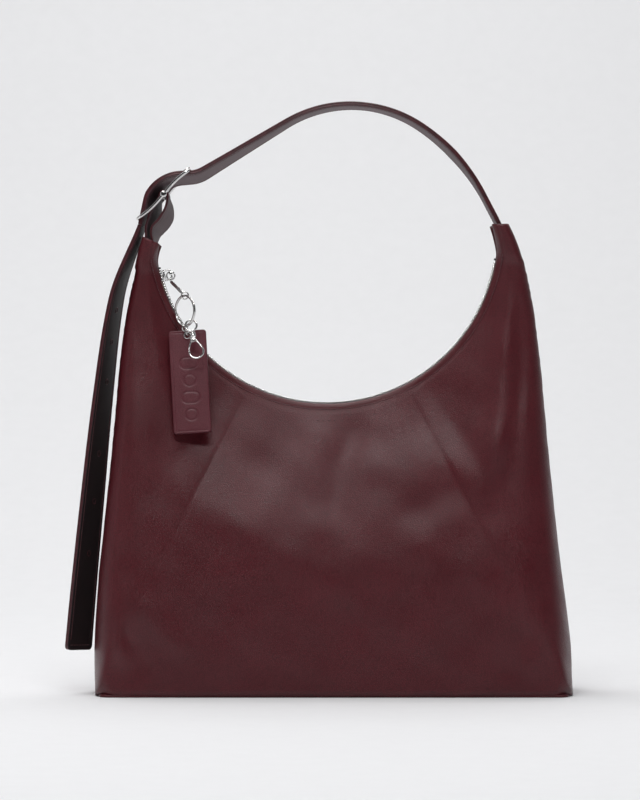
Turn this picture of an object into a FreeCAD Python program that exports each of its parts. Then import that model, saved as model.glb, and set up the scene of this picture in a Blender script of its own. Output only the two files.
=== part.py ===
"""Leather hobo bag: a shell of two panels and a base, a curved zip with its
pull chain, ring, tag and clasp, and one shoulder strap with a centre-bar
buckle and a hanging tail.  Millimetres, +X to the right, +Y to the back, +Z up,
origin on the floor under the middle of the base."""
import FreeCAD, Part
import math
import os

from FreeCAD import Placement, Rotation, Vector

NODES = []

# ---------------------------------------------------------------- dimensions

DIMENSIONS = [
    ("base_half_width", 176.0, "half width of the bag on the floor"),
    ("bulge_half_width", 177.5, "half width just above the base corners"),
    ("base_half_depth", 48.0, "half depth of the base"),
    ("leather", 2.0, "thickness of the body leather with its backing"),
    ("lining_gap", 0.5, "space between leather and lining"),
    ("lining", 0.8, "thickness of the lining"),
    ("mouth_x", -3.4, "centre of the mouth's arc, across"),
    ("mouth_z", 346.0, "centre of the mouth's arc, up"),
    ("mouth_radius", 129.0, "radius of the mouth's edge"),
    ("tape_thickness", 0.7, "zip tape"),
    ("tape_width", 3.1, "zip tape that shows, each side"),
    ("teeth_height", 2.7, "zip teeth, measured along the arc's radius"),
    ("teeth_width", 2.0, "one row of zip teeth"),
    ("teeth_gap", 0.9, "middle of the zip to a row of teeth"),
    ("slider_length", 9.0, "zip slider, along the zip"),
    ("slider_width", 7.6, "zip slider, across the zip"),
    ("slider_plate", 1.3, "thickness of the slider's plates"),
    ("strap_width", 30.0, "shoulder strap"),
    ("strap_layer", 1.6, "each of the strap's two layers"),
    ("strap_x", 125.7, "middle of the strap where it leaves the right horn"),
    ("flex_z", 352.0, "height at which the strap leans on the horns"),
    ("tongue_radius", 14.4, "round end of the strap inside a horn"),
    ("bar_x", -125.25, "middle of the buckle, across"),
    ("bar_z", 373.7, "middle of the buckle, up"),
    ("buckle_reach", 26.5, "middle of the buckle to an end bar"),
    ("buckle_width", 39.4, "outside width of the buckle"),
    ("buckle_inside", 34.4, "clear width inside the buckle"),
    ("end_bar_radius", 1.5, "end bars of the buckle"),
    ("centre_bar_radius", 1.4, "centre bar of the buckle"),
    ("boss_radius", 2.6, "boss round the centre bar's end"),
    ("loop_layer", 1.8, "leather of the buckle loop"),
    ("ring_radius", 11.4, "key ring, to the middle of its wire"),
    ("ring_wire", 0.85, "radius of the key ring's wire"),
    ("ring_x", -109.1, "middle of the key ring, across"),
    ("ring_y", -20.0, "middle of the key ring, in depth"),
    ("ring_z", 286.4, "middle of the key ring, up"),
    ("slider_ring_radius", 3.0, "jump ring on the slider"),
    ("small_wire", 0.6, "radius of the small rings' wire"),
    ("top_eye_radius", 1.75, "upper eye of the pull"),
    ("low_eye_radius", 2.6, "lower eye of the pull, round the key ring"),
    ("tag_width", 28.0, "hang tag"),
    ("tag_length", 78.0, "hang tag"),
    ("tag_thickness", 3.2, "hang tag"),
    ("tag_hole", 2.0, "radius of the tag's hole"),
    ("tag_hole_inset", 4.0, "tag's hole from its top edge"),
    ("tag_ring_radius", 5.0, "ring that carries the tag"),
    ("clasp_loop_radius", 4.2, "swivel loop of the clasp"),
    ("clasp_wire", 0.8, "radius of the clasp's wire"),
    ("hook_radius", 5.2, "round end of the clasp's hook"),
    ("pocket_width", 150.0, "inner zip pocket"),
    ("pocket_height", 84.0, "inner zip pocket"),
    ("slip_width", 130.0, "inner slip pocket"),
    ("slip_height", 78.0, "inner slip pocket"),
]

doc = FreeCAD.newDocument("hobo_bag")
sheet = doc.addObject("Spreadsheet::Sheet", "Sheet")
SIZE = {}
for row, (alias, value, note) in enumerate(DIMENSIONS, start=1):
    sheet.set(f"A{row}", str(value))
    sheet.setAlias(f"A{row}", alias)
    sheet.set(f"B{row}", note)
    SIZE[alias] = value
doc.recompute()

WIDE = SIZE["strap_width"]
LAYER = SIZE["strap_layer"]
FLEX_Z = SIZE["flex_z"]
MOUTH = Vector(SIZE["mouth_x"], 0, SIZE["mouth_z"])
MOUTH_R = SIZE["mouth_radius"]
ACROSS = Vector(0, 1, 0)

# ------------------------------------------------------------------- helpers


def register(item, node):
    """Names a finished sub-part; its label is its node's name."""
    item.Label = node
    NODES.append(item)
    return item


def bind(item, **cells):
    """Binds properties to formulas of the sheet's cells."""
    for name, formula in cells.items():
        item.setExpression(name.replace("__", "."), formula)


def new_sketch(body, role, name, offset=None):
    """A sketch on one of its own body's origin planes."""
    plane = [item for item in body.Origin.OriginFeatures if item.Role == role][0]
    sketch = body.newObject("Sketcher::SketchObject", name)
    sketch.AttachmentSupport = [(plane, "")]
    sketch.MapMode = "FlatFace"
    if offset is not None:
        sketch.AttachmentOffset = offset
    return sketch


def polygon(sketch, points):
    """Closed outline of straight edges."""
    for first, second in zip(points, points[1:] + points[:1]):
        start = Vector(first[0], first[1], 0)
        end = Vector(second[0], second[1], 0)
        sketch.addGeometry(Part.LineSegment(start, end), False)


def arc(sketch, centre, radius, first, last):
    """Anticlockwise arc between two angles in degrees."""
    circle = Part.Circle(Vector(centre[0], centre[1], 0), Vector(0, 0, 1), radius)
    edge = Part.ArcOfCircle(circle, math.radians(first), math.radians(last))
    sketch.addGeometry(edge, False)


def circle(sketch, centre, radius):
    """Full circle."""
    ring = Part.Circle(Vector(centre[0], centre[1], 0), Vector(0, 0, 1), radius)
    sketch.addGeometry(ring, False)


def pad(body, sketch, formula, name="Pad"):
    """Pad half to each side of the sketch's plane."""
    feature = body.newObject("PartDesign::Pad", name)
    feature.Profile = sketch
    feature.SideType = "Symmetric"
    bind(feature, Length=formula)
    return feature


def pocket(body, sketch, formula, name="Pocket"):
    """Pocket half to each side of the sketch's plane."""
    feature = body.newObject("PartDesign::Pocket", name)
    feature.Profile = sketch
    feature.SideType = "Symmetric"
    bind(feature, Length=formula)
    return feature


def walk(start, heading, steps):
    """Follows straight runs and tangent bends in the XZ plane.

    A step is ("run", length) or ("bend", radius, turn): a positive turn is to
    the left.  Returns the pieces and the last point and heading."""
    x, z = start
    pieces = []
    for step in steps:
        angle = math.radians(heading)
        if step[0] == "run":
            nx, nz = x + step[1] * math.cos(angle), z + step[1] * math.sin(angle)
            pieces.append(("run", (x, z), (nx, nz), heading))
        else:
            radius, turn = step[1], step[2]
            side = math.copysign(1.0, turn)
            cx = x - side * radius * math.sin(angle)
            cz = z + side * radius * math.cos(angle)
            last = math.radians(heading + turn)
            nx = cx + side * radius * math.sin(last)
            nz = cz - side * radius * math.cos(last)
            pieces.append(("bend", (cx, cz), radius, heading, turn))
            heading += turn
        x, z = nx, nz
    return pieces, (x, z), heading


def edge_of(sketch, pieces, offset):
    """Draws a route's parallel edge, offset to the left, and returns its ends."""
    ends = []
    for piece in pieces:
        if piece[0] == "run":
            angle = math.radians(piece[3])
            dx, dz = -offset * math.sin(angle), offset * math.cos(angle)
            first = (piece[1][0] + dx, piece[1][1] + dz)
            last = (piece[2][0] + dx, piece[2][1] + dz)
            sketch.addGeometry(Part.LineSegment(Vector(*first, 0), Vector(*last, 0)), False)
        else:
            (cx, cz), radius, heading, turn = piece[1:]
            side = math.copysign(1.0, turn)
            bent = radius - side * offset
            begin, finish = heading - side * 90.0, heading + turn - side * 90.0
            arc(sketch, (cx, cz), bent, min(begin, finish), max(begin, finish))
            first, last = [
                (cx + bent * math.cos(math.radians(a)), cz + bent * math.sin(math.radians(a)))
                for a in (begin, finish)
            ]
        ends += [first, last]
    return ends[0], ends[-1]


def band(node, route, low, high, width):
    """A strip of leather: a band beside a route, as wide as the strap."""
    pieces = route[0]
    body = doc.addObject("PartDesign::Body", node)
    sketch = new_sketch(body, "XZ_Plane", node + "_route")
    low_ends = edge_of(sketch, pieces, low)
    high_ends = edge_of(sketch, pieces, high)
    for first, last in zip(low_ends, high_ends):
        sketch.addGeometry(Part.LineSegment(Vector(*first, 0), Vector(*last, 0)), False)
    pad(body, sketch, width, node + "_strip")
    return register(body, node)


def round_tongue(body, node, reach=17.0):
    """Rounds a strip's end about the flex line, so that it can lean in a horn."""
    radius = SIZE["tongue_radius"]
    sketch = new_sketch(body, "YZ_Plane", node + "_round")
    corners = [(radius, FLEX_Z), (reach, FLEX_Z), (reach, FLEX_Z - 22.0),
               (-reach, FLEX_Z - 22.0), (-reach, FLEX_Z), (-radius, FLEX_Z)]
    for first, second in zip(corners, corners[1:]):
        sketch.addGeometry(Part.LineSegment(Vector(*first, 0), Vector(*second, 0)), False)
    arc(sketch, (0, FLEX_Z), radius, 180.0, 360.0)
    pocket(body, sketch, "800", node + "_tongue")


def torus(name, centre, normal, radius, wire, first=0.0, sweep=360.0):
    """A ring, or a stretch of one, with its size taken from the sheet."""
    item = doc.addObject("Part::Torus", name)
    bind(item, Radius1=radius, Radius2=wire)
    item.Angle3 = sweep
    item.Placement = Placement(Vector(*centre), Rotation(Vector(0, 0, 1), Vector(*normal)))
    if first:
        item.Placement = item.Placement * Placement(Vector(), Rotation(Vector(0, 0, 1), first))
    return item


def rod(name, start, end, radius):
    """A round rod between two points."""
    start, end = Vector(*start), Vector(*end)
    item = doc.addObject("Part::Cylinder", name)
    bind(item, Radius=radius)
    item.Height = (end - start).Length
    item.Placement = Placement(start, Rotation(Vector(0, 0, 1), end - start))
    return item


def block(name, size, placement):
    """A box centred on its placement; sizes are numbers or formulas."""
    item = doc.addObject("Part::Box", name)
    for side, value in zip(("Length", "Width", "Height"), size):
        bind(item, **{side: str(value)})
    doc.recompute()
    middle = Vector(-item.Length.Value / 2, -item.Width.Value / 2, -item.Height.Value / 2)
    item.Placement = placement * Placement(middle, Rotation())
    return item


def fused(node, items, placement=None):
    """One solid made of several primitives."""
    item = doc.addObject("Part::MultiFuse", node)
    item.Shapes = items
    item.Refine = True
    if placement is not None:
        item.Placement = placement
    return register(item, node)


def cut(node, base, tool, placement):
    """One primitive less another."""
    item = doc.addObject("Part::Cut", node)
    item.Base = base
    item.Tool = tool
    item.Placement = placement
    return register(item, node)


def feature(node, shape):
    """A soft piece whose shape comes from Part's own functions."""
    item = doc.addObject("Part::Feature", node)
    item.Shape = shape
    return register(item, node)


# --------------------------------------------------- the leather shell

# Half width of the outline at each height, from the floor to the horns.
SIDES = [(0.0, SIZE["base_half_width"]), (28.0, SIZE["bulge_half_width"]), (73.0, 174.5),
         (133.0, 168.0), (192.0, 162.0), (252.0, 156.5), (296.0, 150.5), (326.0, 144.0)]

# Sections through the mouth's centre: angle from straight down, then the half
# depths at the mouth's edge, on the way down, and at the outer edge.
SECTIONS = [(-76, 6.5, 9, 12, 13, 12), (-66, 6, 8.5, 12, 13, 11), (-55, 6, 9, 14, 18, 15),
            (-45, 6, 10, 18, 26, 22), (-34, 6, 12, 25, 35, 32), ("left corner", 6, 16, 31, 44, 47),
            (-13, 6, 15, 30, 45, 48), (0, 6, 14, 29, 45, 48), (13, 6, 15, 30, 45, 48),
            ("right corner", 6, 16, 31, 44, 47), (34, 6, 12, 25, 35, 32), (45, 6, 10, 18, 26, 22),
            (55, 6, 9, 14, 18, 15), (66, 6, 8.5, 12, 13, 11), (79, 6.5, 9, 12, 13, 12)]
STEPS_DOWN = (0.0, 0.2, 0.45, 0.75)

# The horns: angle, inner radius, outer radius, then the same half depths.
LEFT_HORN = [(-88.5, 124.6, 138.1, 18, 18.5, 18.5, 18.5, 18), (-80, 129.0, 146.0, 9, 14, 16, 16.5, 15)]
RIGHT_HORN = [(83, 129.0, 148.0, 9, 14, 16, 16.5, 15), (92.5, 123.3, 136.8, 18, 18.5, 18.5, 18.5, 18)]


def half_width(height):
    """Half width of the outline at a height."""
    for (low, first), (high, last) in zip(SIDES, SIDES[1:]):
        if height <= high:
            return first + (last - first) * (height - low) / (high - low)
    return SIDES[-1][1]


def corner(name, inset):
    """Angle and distance from the mouth's centre to a base corner."""
    side = -1.0 if name == "left corner" else 1.0
    across = side * (SIZE["base_half_width"] - inset) - MOUTH.x
    return math.degrees(math.atan2(across, MOUTH.z - inset)), math.hypot(across, MOUTH.z - inset)


def reach(angle, inset):
    """Distance from the mouth's centre to the outline, less an inset."""
    across, down = math.sin(math.radians(angle)), math.cos(math.radians(angle))
    floor = (MOUTH.z - inset) / down
    distance = MOUTH_R
    while distance < floor:
        height = MOUTH.z - distance * down
        if abs(MOUTH.x + distance * across) >= half_width(height) - inset:
            return distance
        distance += 0.05
    return floor


def section(angle, inner, outer, depths, inset, opened):
    """One radial section as a closed wire; the inset makes the hollow."""
    start = inner - 6.0 if opened else inner + inset
    radii = [start] + [inner + step * (outer - inner) for step in STEPS_DOWN[1:]]
    on_floor = abs(angle) < 30.0
    in_horn = abs(angle) > 79.5
    edge = outer if on_floor else outer - (1.0 if in_horn else 5.0)
    radii.append(edge)
    half = [max(depth - inset, 0.8) for depth in depths]
    profile = list(zip(radii, half)) + [(outer, 0.0)]
    profile += [(radius, -depth) for radius, depth in reversed(list(zip(radii, half)))]
    across, down = math.sin(math.radians(angle)), math.cos(math.radians(angle))
    points = [Vector(MOUTH.x + radius * across, -depth, MOUTH.z - radius * down)
              for radius, depth in profile]
    return Part.makePolygon(points + points[:1])


def pillow(inset, horns=True, opened=False, start=None):
    """The bag's closed form, or its hollow when opened and inset."""
    rows = []
    for angle, *depths in SECTIONS:
        if isinstance(angle, str):
            angle, distance = corner(angle, inset)
        else:
            distance = reach(angle, inset)
        rows.append((angle, start or MOUTH_R, distance, depths, opened))
    if horns:
        grow = 1.0 if inset else 0.0
        for angle, inner, outer, *depths in LEFT_HORN[::-1]:
            rows.insert(0, (angle, inner, outer - inset, depths, False))
        for angle, inner, outer, *depths in RIGHT_HORN:
            rows.append((angle, inner, outer - inset, depths, False))
        if grow:
            first, last = rows[0], rows[-1]
            rows.insert(0, (first[0] - grow,) + first[1:])
            rows.append((last[0] + grow,) + last[1:])
    wires = [section(angle, inner, outer, depths, inset, is_open)
             for angle, inner, outer, depths, is_open in rows]
    return Part.makeLoft(wires, True, True)


def half_space(side, low, high):
    """A large box on one side of the middle plane, between two heights."""
    corner = Vector(-300, 0 if side > 0 else -200, low)
    return Part.makeBox(600, 200, high - low, corner)


def shell_pieces():
    """Front and back panels and the base, all cut from one shell."""
    leather = SIZE["leather"]
    shell = pillow(0.0).cut(pillow(leather, opened=True))
    base = Part.makeBox(600, 2 * SIZE["base_half_depth"] - 8, leather,
                        Vector(-300, 4 - SIZE["base_half_depth"], 0))
    inner_base = Part.makeBox(2 * SIZE["base_half_width"] - 8, 200, leather,
                              Vector(4 - SIZE["base_half_width"], -100, 0))
    plate = shell.common(base).common(inner_base)
    rest = shell.cut(plate)
    feature("front_panel", rest.common(half_space(-1, -5, 400)))
    feature("back_panel", rest.common(half_space(1, -5, 400)))
    feature("base_panel", plate)


def lining_pieces():
    """The lining bag, in a front and a back half, hung below the zip."""
    outside = SIZE["leather"] + SIZE["lining_gap"]
    inside = outside + SIZE["lining"]
    top = MOUTH_R + 5.0
    outer = pillow(outside, horns=False, start=top)
    inner = pillow(inside, horns=False, opened=True, start=top)
    shell = outer.cut(inner)
    feature("lining_front", shell.common(half_space(-1, 0, 400)))
    feature("lining_back", shell.common(half_space(1, 0, 400)))


def base_board():
    """The stiff board that lies on the lining's floor."""
    place = Placement(Vector(0, 0, 5.0), Rotation())
    size = ("2 * Sheet.base_half_width - 26", "2 * Sheet.base_half_depth - 24", 2.4)
    board = block("base_board", size, place)
    register(board, "base_board")


# ------------------------------------------------------------------- the zip

ZIP_START, ZIP_END = -77.4, 80.4
SLIDER_ANGLE = -75.0


def curved_strip(node, first, last, low, high, near, far):
    """A strip that follows the mouth's arc, between two depths."""
    body = doc.addObject("PartDesign::Body", node)
    offset = Placement(Vector(0, 0, -(near + far) / 2), Rotation())
    sketch = new_sketch(body, "XZ_Plane", node + "_sector", offset)
    centre = (MOUTH.x, MOUTH.z)
    arc(sketch, centre, low, first - 90, last - 90)
    arc(sketch, centre, high, first - 90, last - 90)
    for angle in (first - 90, last - 90):
        ends = [Vector(centre[0] + radius * math.cos(math.radians(angle)),
                       centre[1] + radius * math.sin(math.radians(angle)), 0)
                for radius in (low, high)]
        sketch.addGeometry(Part.LineSegment(*ends), False)
    pad(body, sketch, str(far - near), node + "_strip")
    return register(body, node)


def zip_pieces():
    """Tapes and rows of teeth, front and back, and the stops at both ends."""
    tape_low = MOUTH_R + 0.9
    tape_high = tape_low + SIZE["tape_thickness"]
    teeth_low = tape_low - SIZE["teeth_height"]
    gap = SIZE["teeth_gap"]
    for side, name in ((-1, "front"), (1, "back")):
        tape = sorted((side * gap, side * (gap + SIZE["tape_width"])))
        teeth = sorted((side * gap, side * (gap + SIZE["teeth_width"])))
        curved_strip("zip_tape_" + name, ZIP_START, ZIP_END, tape_low, tape_high, *tape)
        curved_strip("zip_teeth_" + name, ZIP_START, ZIP_END, teeth_low, tape_low, *teeth)
    stops = []
    for number, first in enumerate((ZIP_START - 0.8, ZIP_END + 0.1)):
        angle = math.radians(first + 0.35)
        radius = tape_low - 1.2
        foot = Vector(MOUTH.x + radius * math.sin(angle), 0, MOUTH.z - radius * math.cos(angle))
        place = Placement(foot, Rotation(ACROSS, -math.degrees(angle)))
        stops.append(block(f"stop_{number}", (1.5, 4.4, 2.4), place))
    fused("zip_end_stops", stops)


def on_arc(angle, radius, depth=0.0):
    """A point beside the zip."""
    turn = math.radians(angle)
    return Vector(MOUTH.x + radius * math.sin(turn), depth, MOUTH.z - radius * math.cos(turn))


# The slider's arch carries a post that points to the front, and the jump ring
# hangs on that post.
ARCH_RADIUS = MOUTH_R - 8.0
ARCH = on_arc(SLIDER_ANGLE, ARCH_RADIUS)
ALONG = Vector(math.cos(math.radians(SLIDER_ANGLE)), 0, math.sin(math.radians(SLIDER_ANGLE)))
POST_RADIUS = 0.7
POST_END = ARCH - ACROSS * 7.9
SLIDER_RING = ARCH + Vector(0, -6.5, POST_RADIUS + SIZE["small_wire"] + 0.15 - SIZE["slider_ring_radius"])
PULL_TOP = SLIDER_RING - Vector(0, 0, SIZE["slider_ring_radius"])


def slider():
    """Two plates joined by a blade, with an arch along the top for the pull."""
    plate = SIZE["slider_plate"]
    turn = Rotation(ACROSS, -SLIDER_ANGLE)
    size = ("Sheet.slider_length", "Sheet.slider_width", "Sheet.slider_plate")
    top = MOUTH_R + 0.9 - SIZE["teeth_height"] - 0.5 - plate / 2
    bottom = MOUTH_R + 0.9 + SIZE["tape_thickness"] + 0.5 + plate / 2
    small = ("Sheet.slider_length", "Sheet.slider_width - 1", "Sheet.slider_plate")
    pieces = [block("slider_top", size, Placement(on_arc(SLIDER_ANGLE, top), turn)),
              block("slider_bottom", small, Placement(on_arc(SLIDER_ANGLE, bottom), turn)),
              block("slider_blade", (3.0, 1.1, bottom - top + 0.4),
                    Placement(on_arc(SLIDER_ANGLE, (top + bottom) / 2), turn))]
    height = top - ARCH_RADIUS
    for number, shift in enumerate((-3.7, 3.7)):
        foot = on_arc(SLIDER_ANGLE, (top + ARCH_RADIUS) / 2) + ALONG * shift
        pieces.append(block(f"slider_leg_{number}", (1.2, 1.5, height + 1.2), Placement(foot, turn)))
    pieces.append(rod("slider_arch", ARCH - ALONG * 3.6, ARCH + ALONG * 3.6, "0.6"))
    pieces.append(rod("slider_post", ARCH, POST_END, str(POST_RADIUS)))
    pieces.append(rod("slider_post_head", POST_END, POST_END - ACROSS * 0.8, "1.4"))
    fused("zip_slider", pieces)
    ring = torus("slider_ring", SLIDER_RING, ACROSS, "Sheet.slider_ring_radius", "Sheet.small_wire")
    register(ring, "slider_ring")


# ------------------------------------------------ pull, ring, tag and clasp

RING = Vector(SIZE["ring_x"], SIZE["ring_y"], SIZE["ring_z"])
RING_TURN = math.radians(50.0)
RING_SIDE = Vector(math.cos(RING_TURN), -math.sin(RING_TURN), 0)


def on_ring(angle):
    """A point on the key ring's wire; 0 is its lowest, positive is right."""
    turn = math.radians(angle)
    aside = RING_SIDE * (SIZE["ring_radius"] * math.sin(turn))
    return RING + aside - Vector(0, 0, SIZE["ring_radius"] * math.cos(turn))


EYE = on_ring(180.0)


def in_plane(way, normal):
    """The direction of the part of a vector that lies in a plane."""
    return (way - normal * way.dot(normal)).normalize()


def pull_and_ring():
    """The flat bar between the two rings, and the key ring."""
    right = Vector(1, 0, 0)
    top_eye = torus("pull_top_eye", PULL_TOP, right, "Sheet.top_eye_radius", "Sheet.small_wire")
    low_eye = torus("pull_low_eye", EYE, ACROSS, "Sheet.low_eye_radius", "Sheet.small_wire")
    way = EYE - PULL_TOP
    start = PULL_TOP + in_plane(way, right) * SIZE["top_eye_radius"]
    end = EYE - in_plane(way, ACROSS) * SIZE["low_eye_radius"]
    way = end - start
    side = way.cross(ACROSS).normalize()
    place = Placement((start + end) * 0.5, Rotation(side, Vector(0, 0, 0), way, "ZXY"))
    bar = block("pull_strip", (2.7, 1.1, way.Length + 0.3), place)
    fused("puller_bar", [bar, top_eye, low_eye])
    normal = RING_SIDE.cross(Vector(0, 0, 1))
    register(torus("key_ring", RING, normal, "Sheet.ring_radius", "Sheet.ring_wire"), "key_ring")


TAG_HOLE = Vector(-107.3, -17.2, 267.9)
TAG_LEAN, TAG_TILT = 10.0, 3.5
TAG_TURN = Rotation(ACROSS, -TAG_TILT) * Rotation(Vector(1, 0, 0), -TAG_LEAN)


def tag():
    """The leather hang tag, its hole, and the ring that carries it."""
    body = doc.addObject("PartDesign::Body", "tag")
    sketch = new_sketch(body, "XZ_Plane", "tag_outline")
    half, top = SIZE["tag_width"] / 2, SIZE["tag_hole_inset"]
    low, corner = top - SIZE["tag_length"], 2.4
    corners = [(half - corner, top - corner, 0), (corner - half, top - corner, 90),
               (corner - half, low + corner, 180), (half - corner, low + corner, 270)]
    for number, (x, z, first) in enumerate(corners):
        arc(sketch, (x, z), corner, first, first + 90)
        nx, nz, _ = corners[(number + 1) % 4]
        turn = math.radians(first + 90)
        shift = Vector(corner * math.cos(turn), corner * math.sin(turn), 0)
        sketch.addGeometry(Part.LineSegment(Vector(x, z, 0) + shift, Vector(nx, nz, 0) + shift), False)
    pad(body, sketch, "Sheet.tag_thickness", "tag_plate")
    hole = new_sketch(body, "XZ_Plane", "tag_hole_outline")
    circle(hole, (0, 0), SIZE["tag_hole"])
    pocket(body, hole, "4 * Sheet.tag_thickness", "tag_bore")
    body.Placement = Placement(TAG_HOLE, TAG_TURN)
    register(body, "tag")
    carried = on_ring(-4.0)
    way = (TAG_HOLE - carried).normalize()
    centre = TAG_HOLE - way * SIZE["tag_ring_radius"]
    normal = way.cross(ACROSS)
    register(torus("tag_ring", centre, normal, "Sheet.tag_ring_radius", "Sheet.small_wire"), "tag_ring")


CLASP_TILT, CLASP_LEAN = 11.0, 15.0
CLASP = on_ring(38.0) + Vector(0.3, -0.3, -2.1)
CLASP_TURN = Rotation(ACROSS, -CLASP_TILT) * Rotation(Vector(1, 0, 0), -CLASP_LEAN)
CLASP_PLACE = Placement(CLASP, CLASP_TURN)
HOOK_MIDDLE = (0.4, -20.3)
HOOK_TOP = (0.9, -9.95)
GATE_PIVOT = (-1.5, -11.2)
GATE_END = (-4.75, -18.1)


def clasp():
    """Swivel loop, barrel, hook, and the gate on its pin."""
    loop = torus("clasp_ring", (0, 0, 0), (0, 1, 0), "Sheet.clasp_loop_radius", "Sheet.clasp_wire")
    post = rod("clasp_post", (0, 0, -4.4), (0, 0, -8.4), "0.8")
    fused("clasp_loop", [loop, post], CLASP_PLACE)
    case = rod("clasp_case", (0, 0, -9.4), (0, 0, -5.4), "2.3")
    bore = rod("clasp_bore", (0, 0, -8.6), (0, 0, -5.0), "0.9")
    cut("clasp_barrel", case, bore, CLASP_PLACE)
    radius = SIZE["hook_radius"]
    across, up = HOOK_TOP[0] - HOOK_MIDDLE[0], HOOK_TOP[1] - HOOK_MIDDLE[1]
    bearing = math.degrees(math.atan2(up, across))
    touch = bearing - math.degrees(math.acos(radius / math.hypot(across, up)))
    meet = (HOOK_MIDDLE[0] + radius * math.cos(math.radians(touch)), 0,
            HOOK_MIDDLE[1] + radius * math.sin(math.radians(touch)))
    leg = rod("hook_leg", (HOOK_TOP[0], 0, HOOK_TOP[1]), meet, "Sheet.clasp_wire")
    bend = torus("hook_bend", (HOOK_MIDDLE[0], 0, HOOK_MIDDLE[1]), (0, 1, 0),
                 "Sheet.hook_radius", "Sheet.clasp_wire", -touch, touch + 193.0)
    cheeks = []
    for number, shift in enumerate((-1.25, 1.25)):
        place = Placement(Vector(-0.6, shift, -10.9), Rotation())
        cheeks.append(block(f"hook_cheek_{number}", (4.2, 0.7, 2.9), place))
    saddle = block("hook_saddle", (3.2, 3.2, 0.5), Placement(Vector(0, 0, -9.65), Rotation()))
    fused("clasp_hook", [leg, bend, saddle] + cheeks, CLASP_PLACE)
    pivot, end = (GATE_PIVOT[0], 0, GATE_PIVOT[1]), (GATE_END[0], 0, GATE_END[1])
    lever = rod("gate_lever", pivot, end, "0.7")
    knuckle = rod("gate_knuckle", (pivot[0], -0.8, pivot[2]), (pivot[0], 0.8, pivot[2]), "1.0")
    solid = doc.addObject("Part::MultiFuse", "gate_solid")
    solid.Shapes = [lever, knuckle]
    bore = rod("gate_bore", (pivot[0], -2, pivot[2]), (pivot[0], 2, pivot[2]), "0.5")
    cut("clasp_gate", solid, bore, CLASP_PLACE)
    pin = rod("clasp_gate_pin", (pivot[0], -0.85, pivot[2]), (pivot[0], 0.85, pivot[2]), "0.45")
    pin.Placement = CLASP_PLACE * pin.Placement
    register(pin, "clasp_gate_pin")


# ---------------------------------------------------- the strap and buckle

STRAP_HEADING = 117.6
HIDDEN = 15.0
UNDER = math.radians(STRAP_HEADING)
STRAP_START = (SIZE["strap_x"] - HIDDEN * math.cos(UNDER), FLEX_Z - HIDDEN * math.sin(UNDER))
STRAP_STEPS = [("run", 22.0 + HIDDEN), ("bend", 147.0, 28.6), ("bend", 93.5, 65.0), ("run", 71.5),
               ("bend", 25.0, -28.0), ("run", 6.0), ("bend", 27.0, 68.0), ("run", 18.5)]
STRAP_ROUTE = walk(STRAP_START, STRAP_HEADING, STRAP_STEPS)
TAIL_GAP = LAYER + 0.4
TAIL_PIVOT = walk(STRAP_ROUTE[1], STRAP_ROUTE[2], [("run", TAIL_GAP)])[1]

# The tail's sections: height, middle, and turn about the vertical.
TAIL_SECTIONS = [(TAIL_PIVOT[1], TAIL_PIVOT[0], 0.0), (296.0, -161.4, 14.0), (222.0, -171.6, 22.0),
                 (147.0, -179.4, 28.0), (73.0, -186.6, 32.0), (32.0, -190.2, 34.0)]

# The buckle loop: up from the left horn, round the centre bar and back down.
LOOP_START = (-136.9, 338.5)
LOOP_HUG = SIZE["centre_bar_radius"] + 0.4


def strap():
    """The arch of two layers, from the right horn to the buckle."""
    for node, low, high in (("strap_outer", -LAYER, 0.0), ("strap_lining", 0.0, LAYER)):
        body = band(node, STRAP_ROUTE, low, high, "Sheet.strap_width")
        round_tongue(body, node)
        slot = new_sketch(body, "XY_Plane", node + "_slot_outline")
        polygon(slot, [(-124, -2.0), (-107, -2.0), (-107, 2.0), (-124, 2.0)])
        pocket(body, slot, "1000", node + "_slot")


def tail():
    """The strap's free end, in two layers, turning as it hangs."""
    for node, low, high in (("tail_outer", -LAYER, 0.0), ("tail_lining", 0.0, LAYER)):
        body = doc.addObject("PartDesign::Body", node)
        sketches = []
        for number, (height, middle, turn) in enumerate(TAIL_SECTIONS):
            place = Placement(Vector(middle, 0, height), Rotation(Vector(0, 0, 1), -turn))
            sketch = new_sketch(body, "XY_Plane", f"{node}_section_{number}", place)
            polygon(sketch, [(low, -WIDE / 2), (high, -WIDE / 2), (high, WIDE / 2), (low, WIDE / 2)])
            sketches.append(sketch)
        loft = body.newObject("PartDesign::AdditiveLoft", node + "_strip")
        loft.Profile = sketches[0]
        loft.Sections = sketches[1:]
        loft.Ruled = True
        register(body, node)


def strap_roots():
    """The sewn ends of the strap and of the loop inside the horns."""
    radius = SIZE["tongue_radius"] + 0.4
    for node, middle, low in (("left_strap_root", -137.2, 328.0), ("right_strap_root", 132.9, 331.0)):
        body = doc.addObject("PartDesign::Body", node)
        offset = Placement(Vector(0, 0, middle), Rotation())
        sketch = new_sketch(body, "YZ_Plane", node + "_outline", offset)
        side = math.sqrt(radius ** 2 - 11.0 ** 2)
        polygon_points = [(-11.0, FLEX_Z - side), (-11.0, low), (11.0, low), (11.0, FLEX_Z - side)]
        for first, second in zip(polygon_points, polygon_points[1:]):
            sketch.addGeometry(Part.LineSegment(Vector(*first, 0), Vector(*second, 0)), False)
        spread = math.degrees(math.asin(11.0 / radius))
        arc(sketch, (0, FLEX_Z), radius, 270.0 - spread, 270.0 + spread)
        pad(body, sketch, "2 * Sheet.strap_layer", node + "_tab")
        register(body, node)


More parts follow.
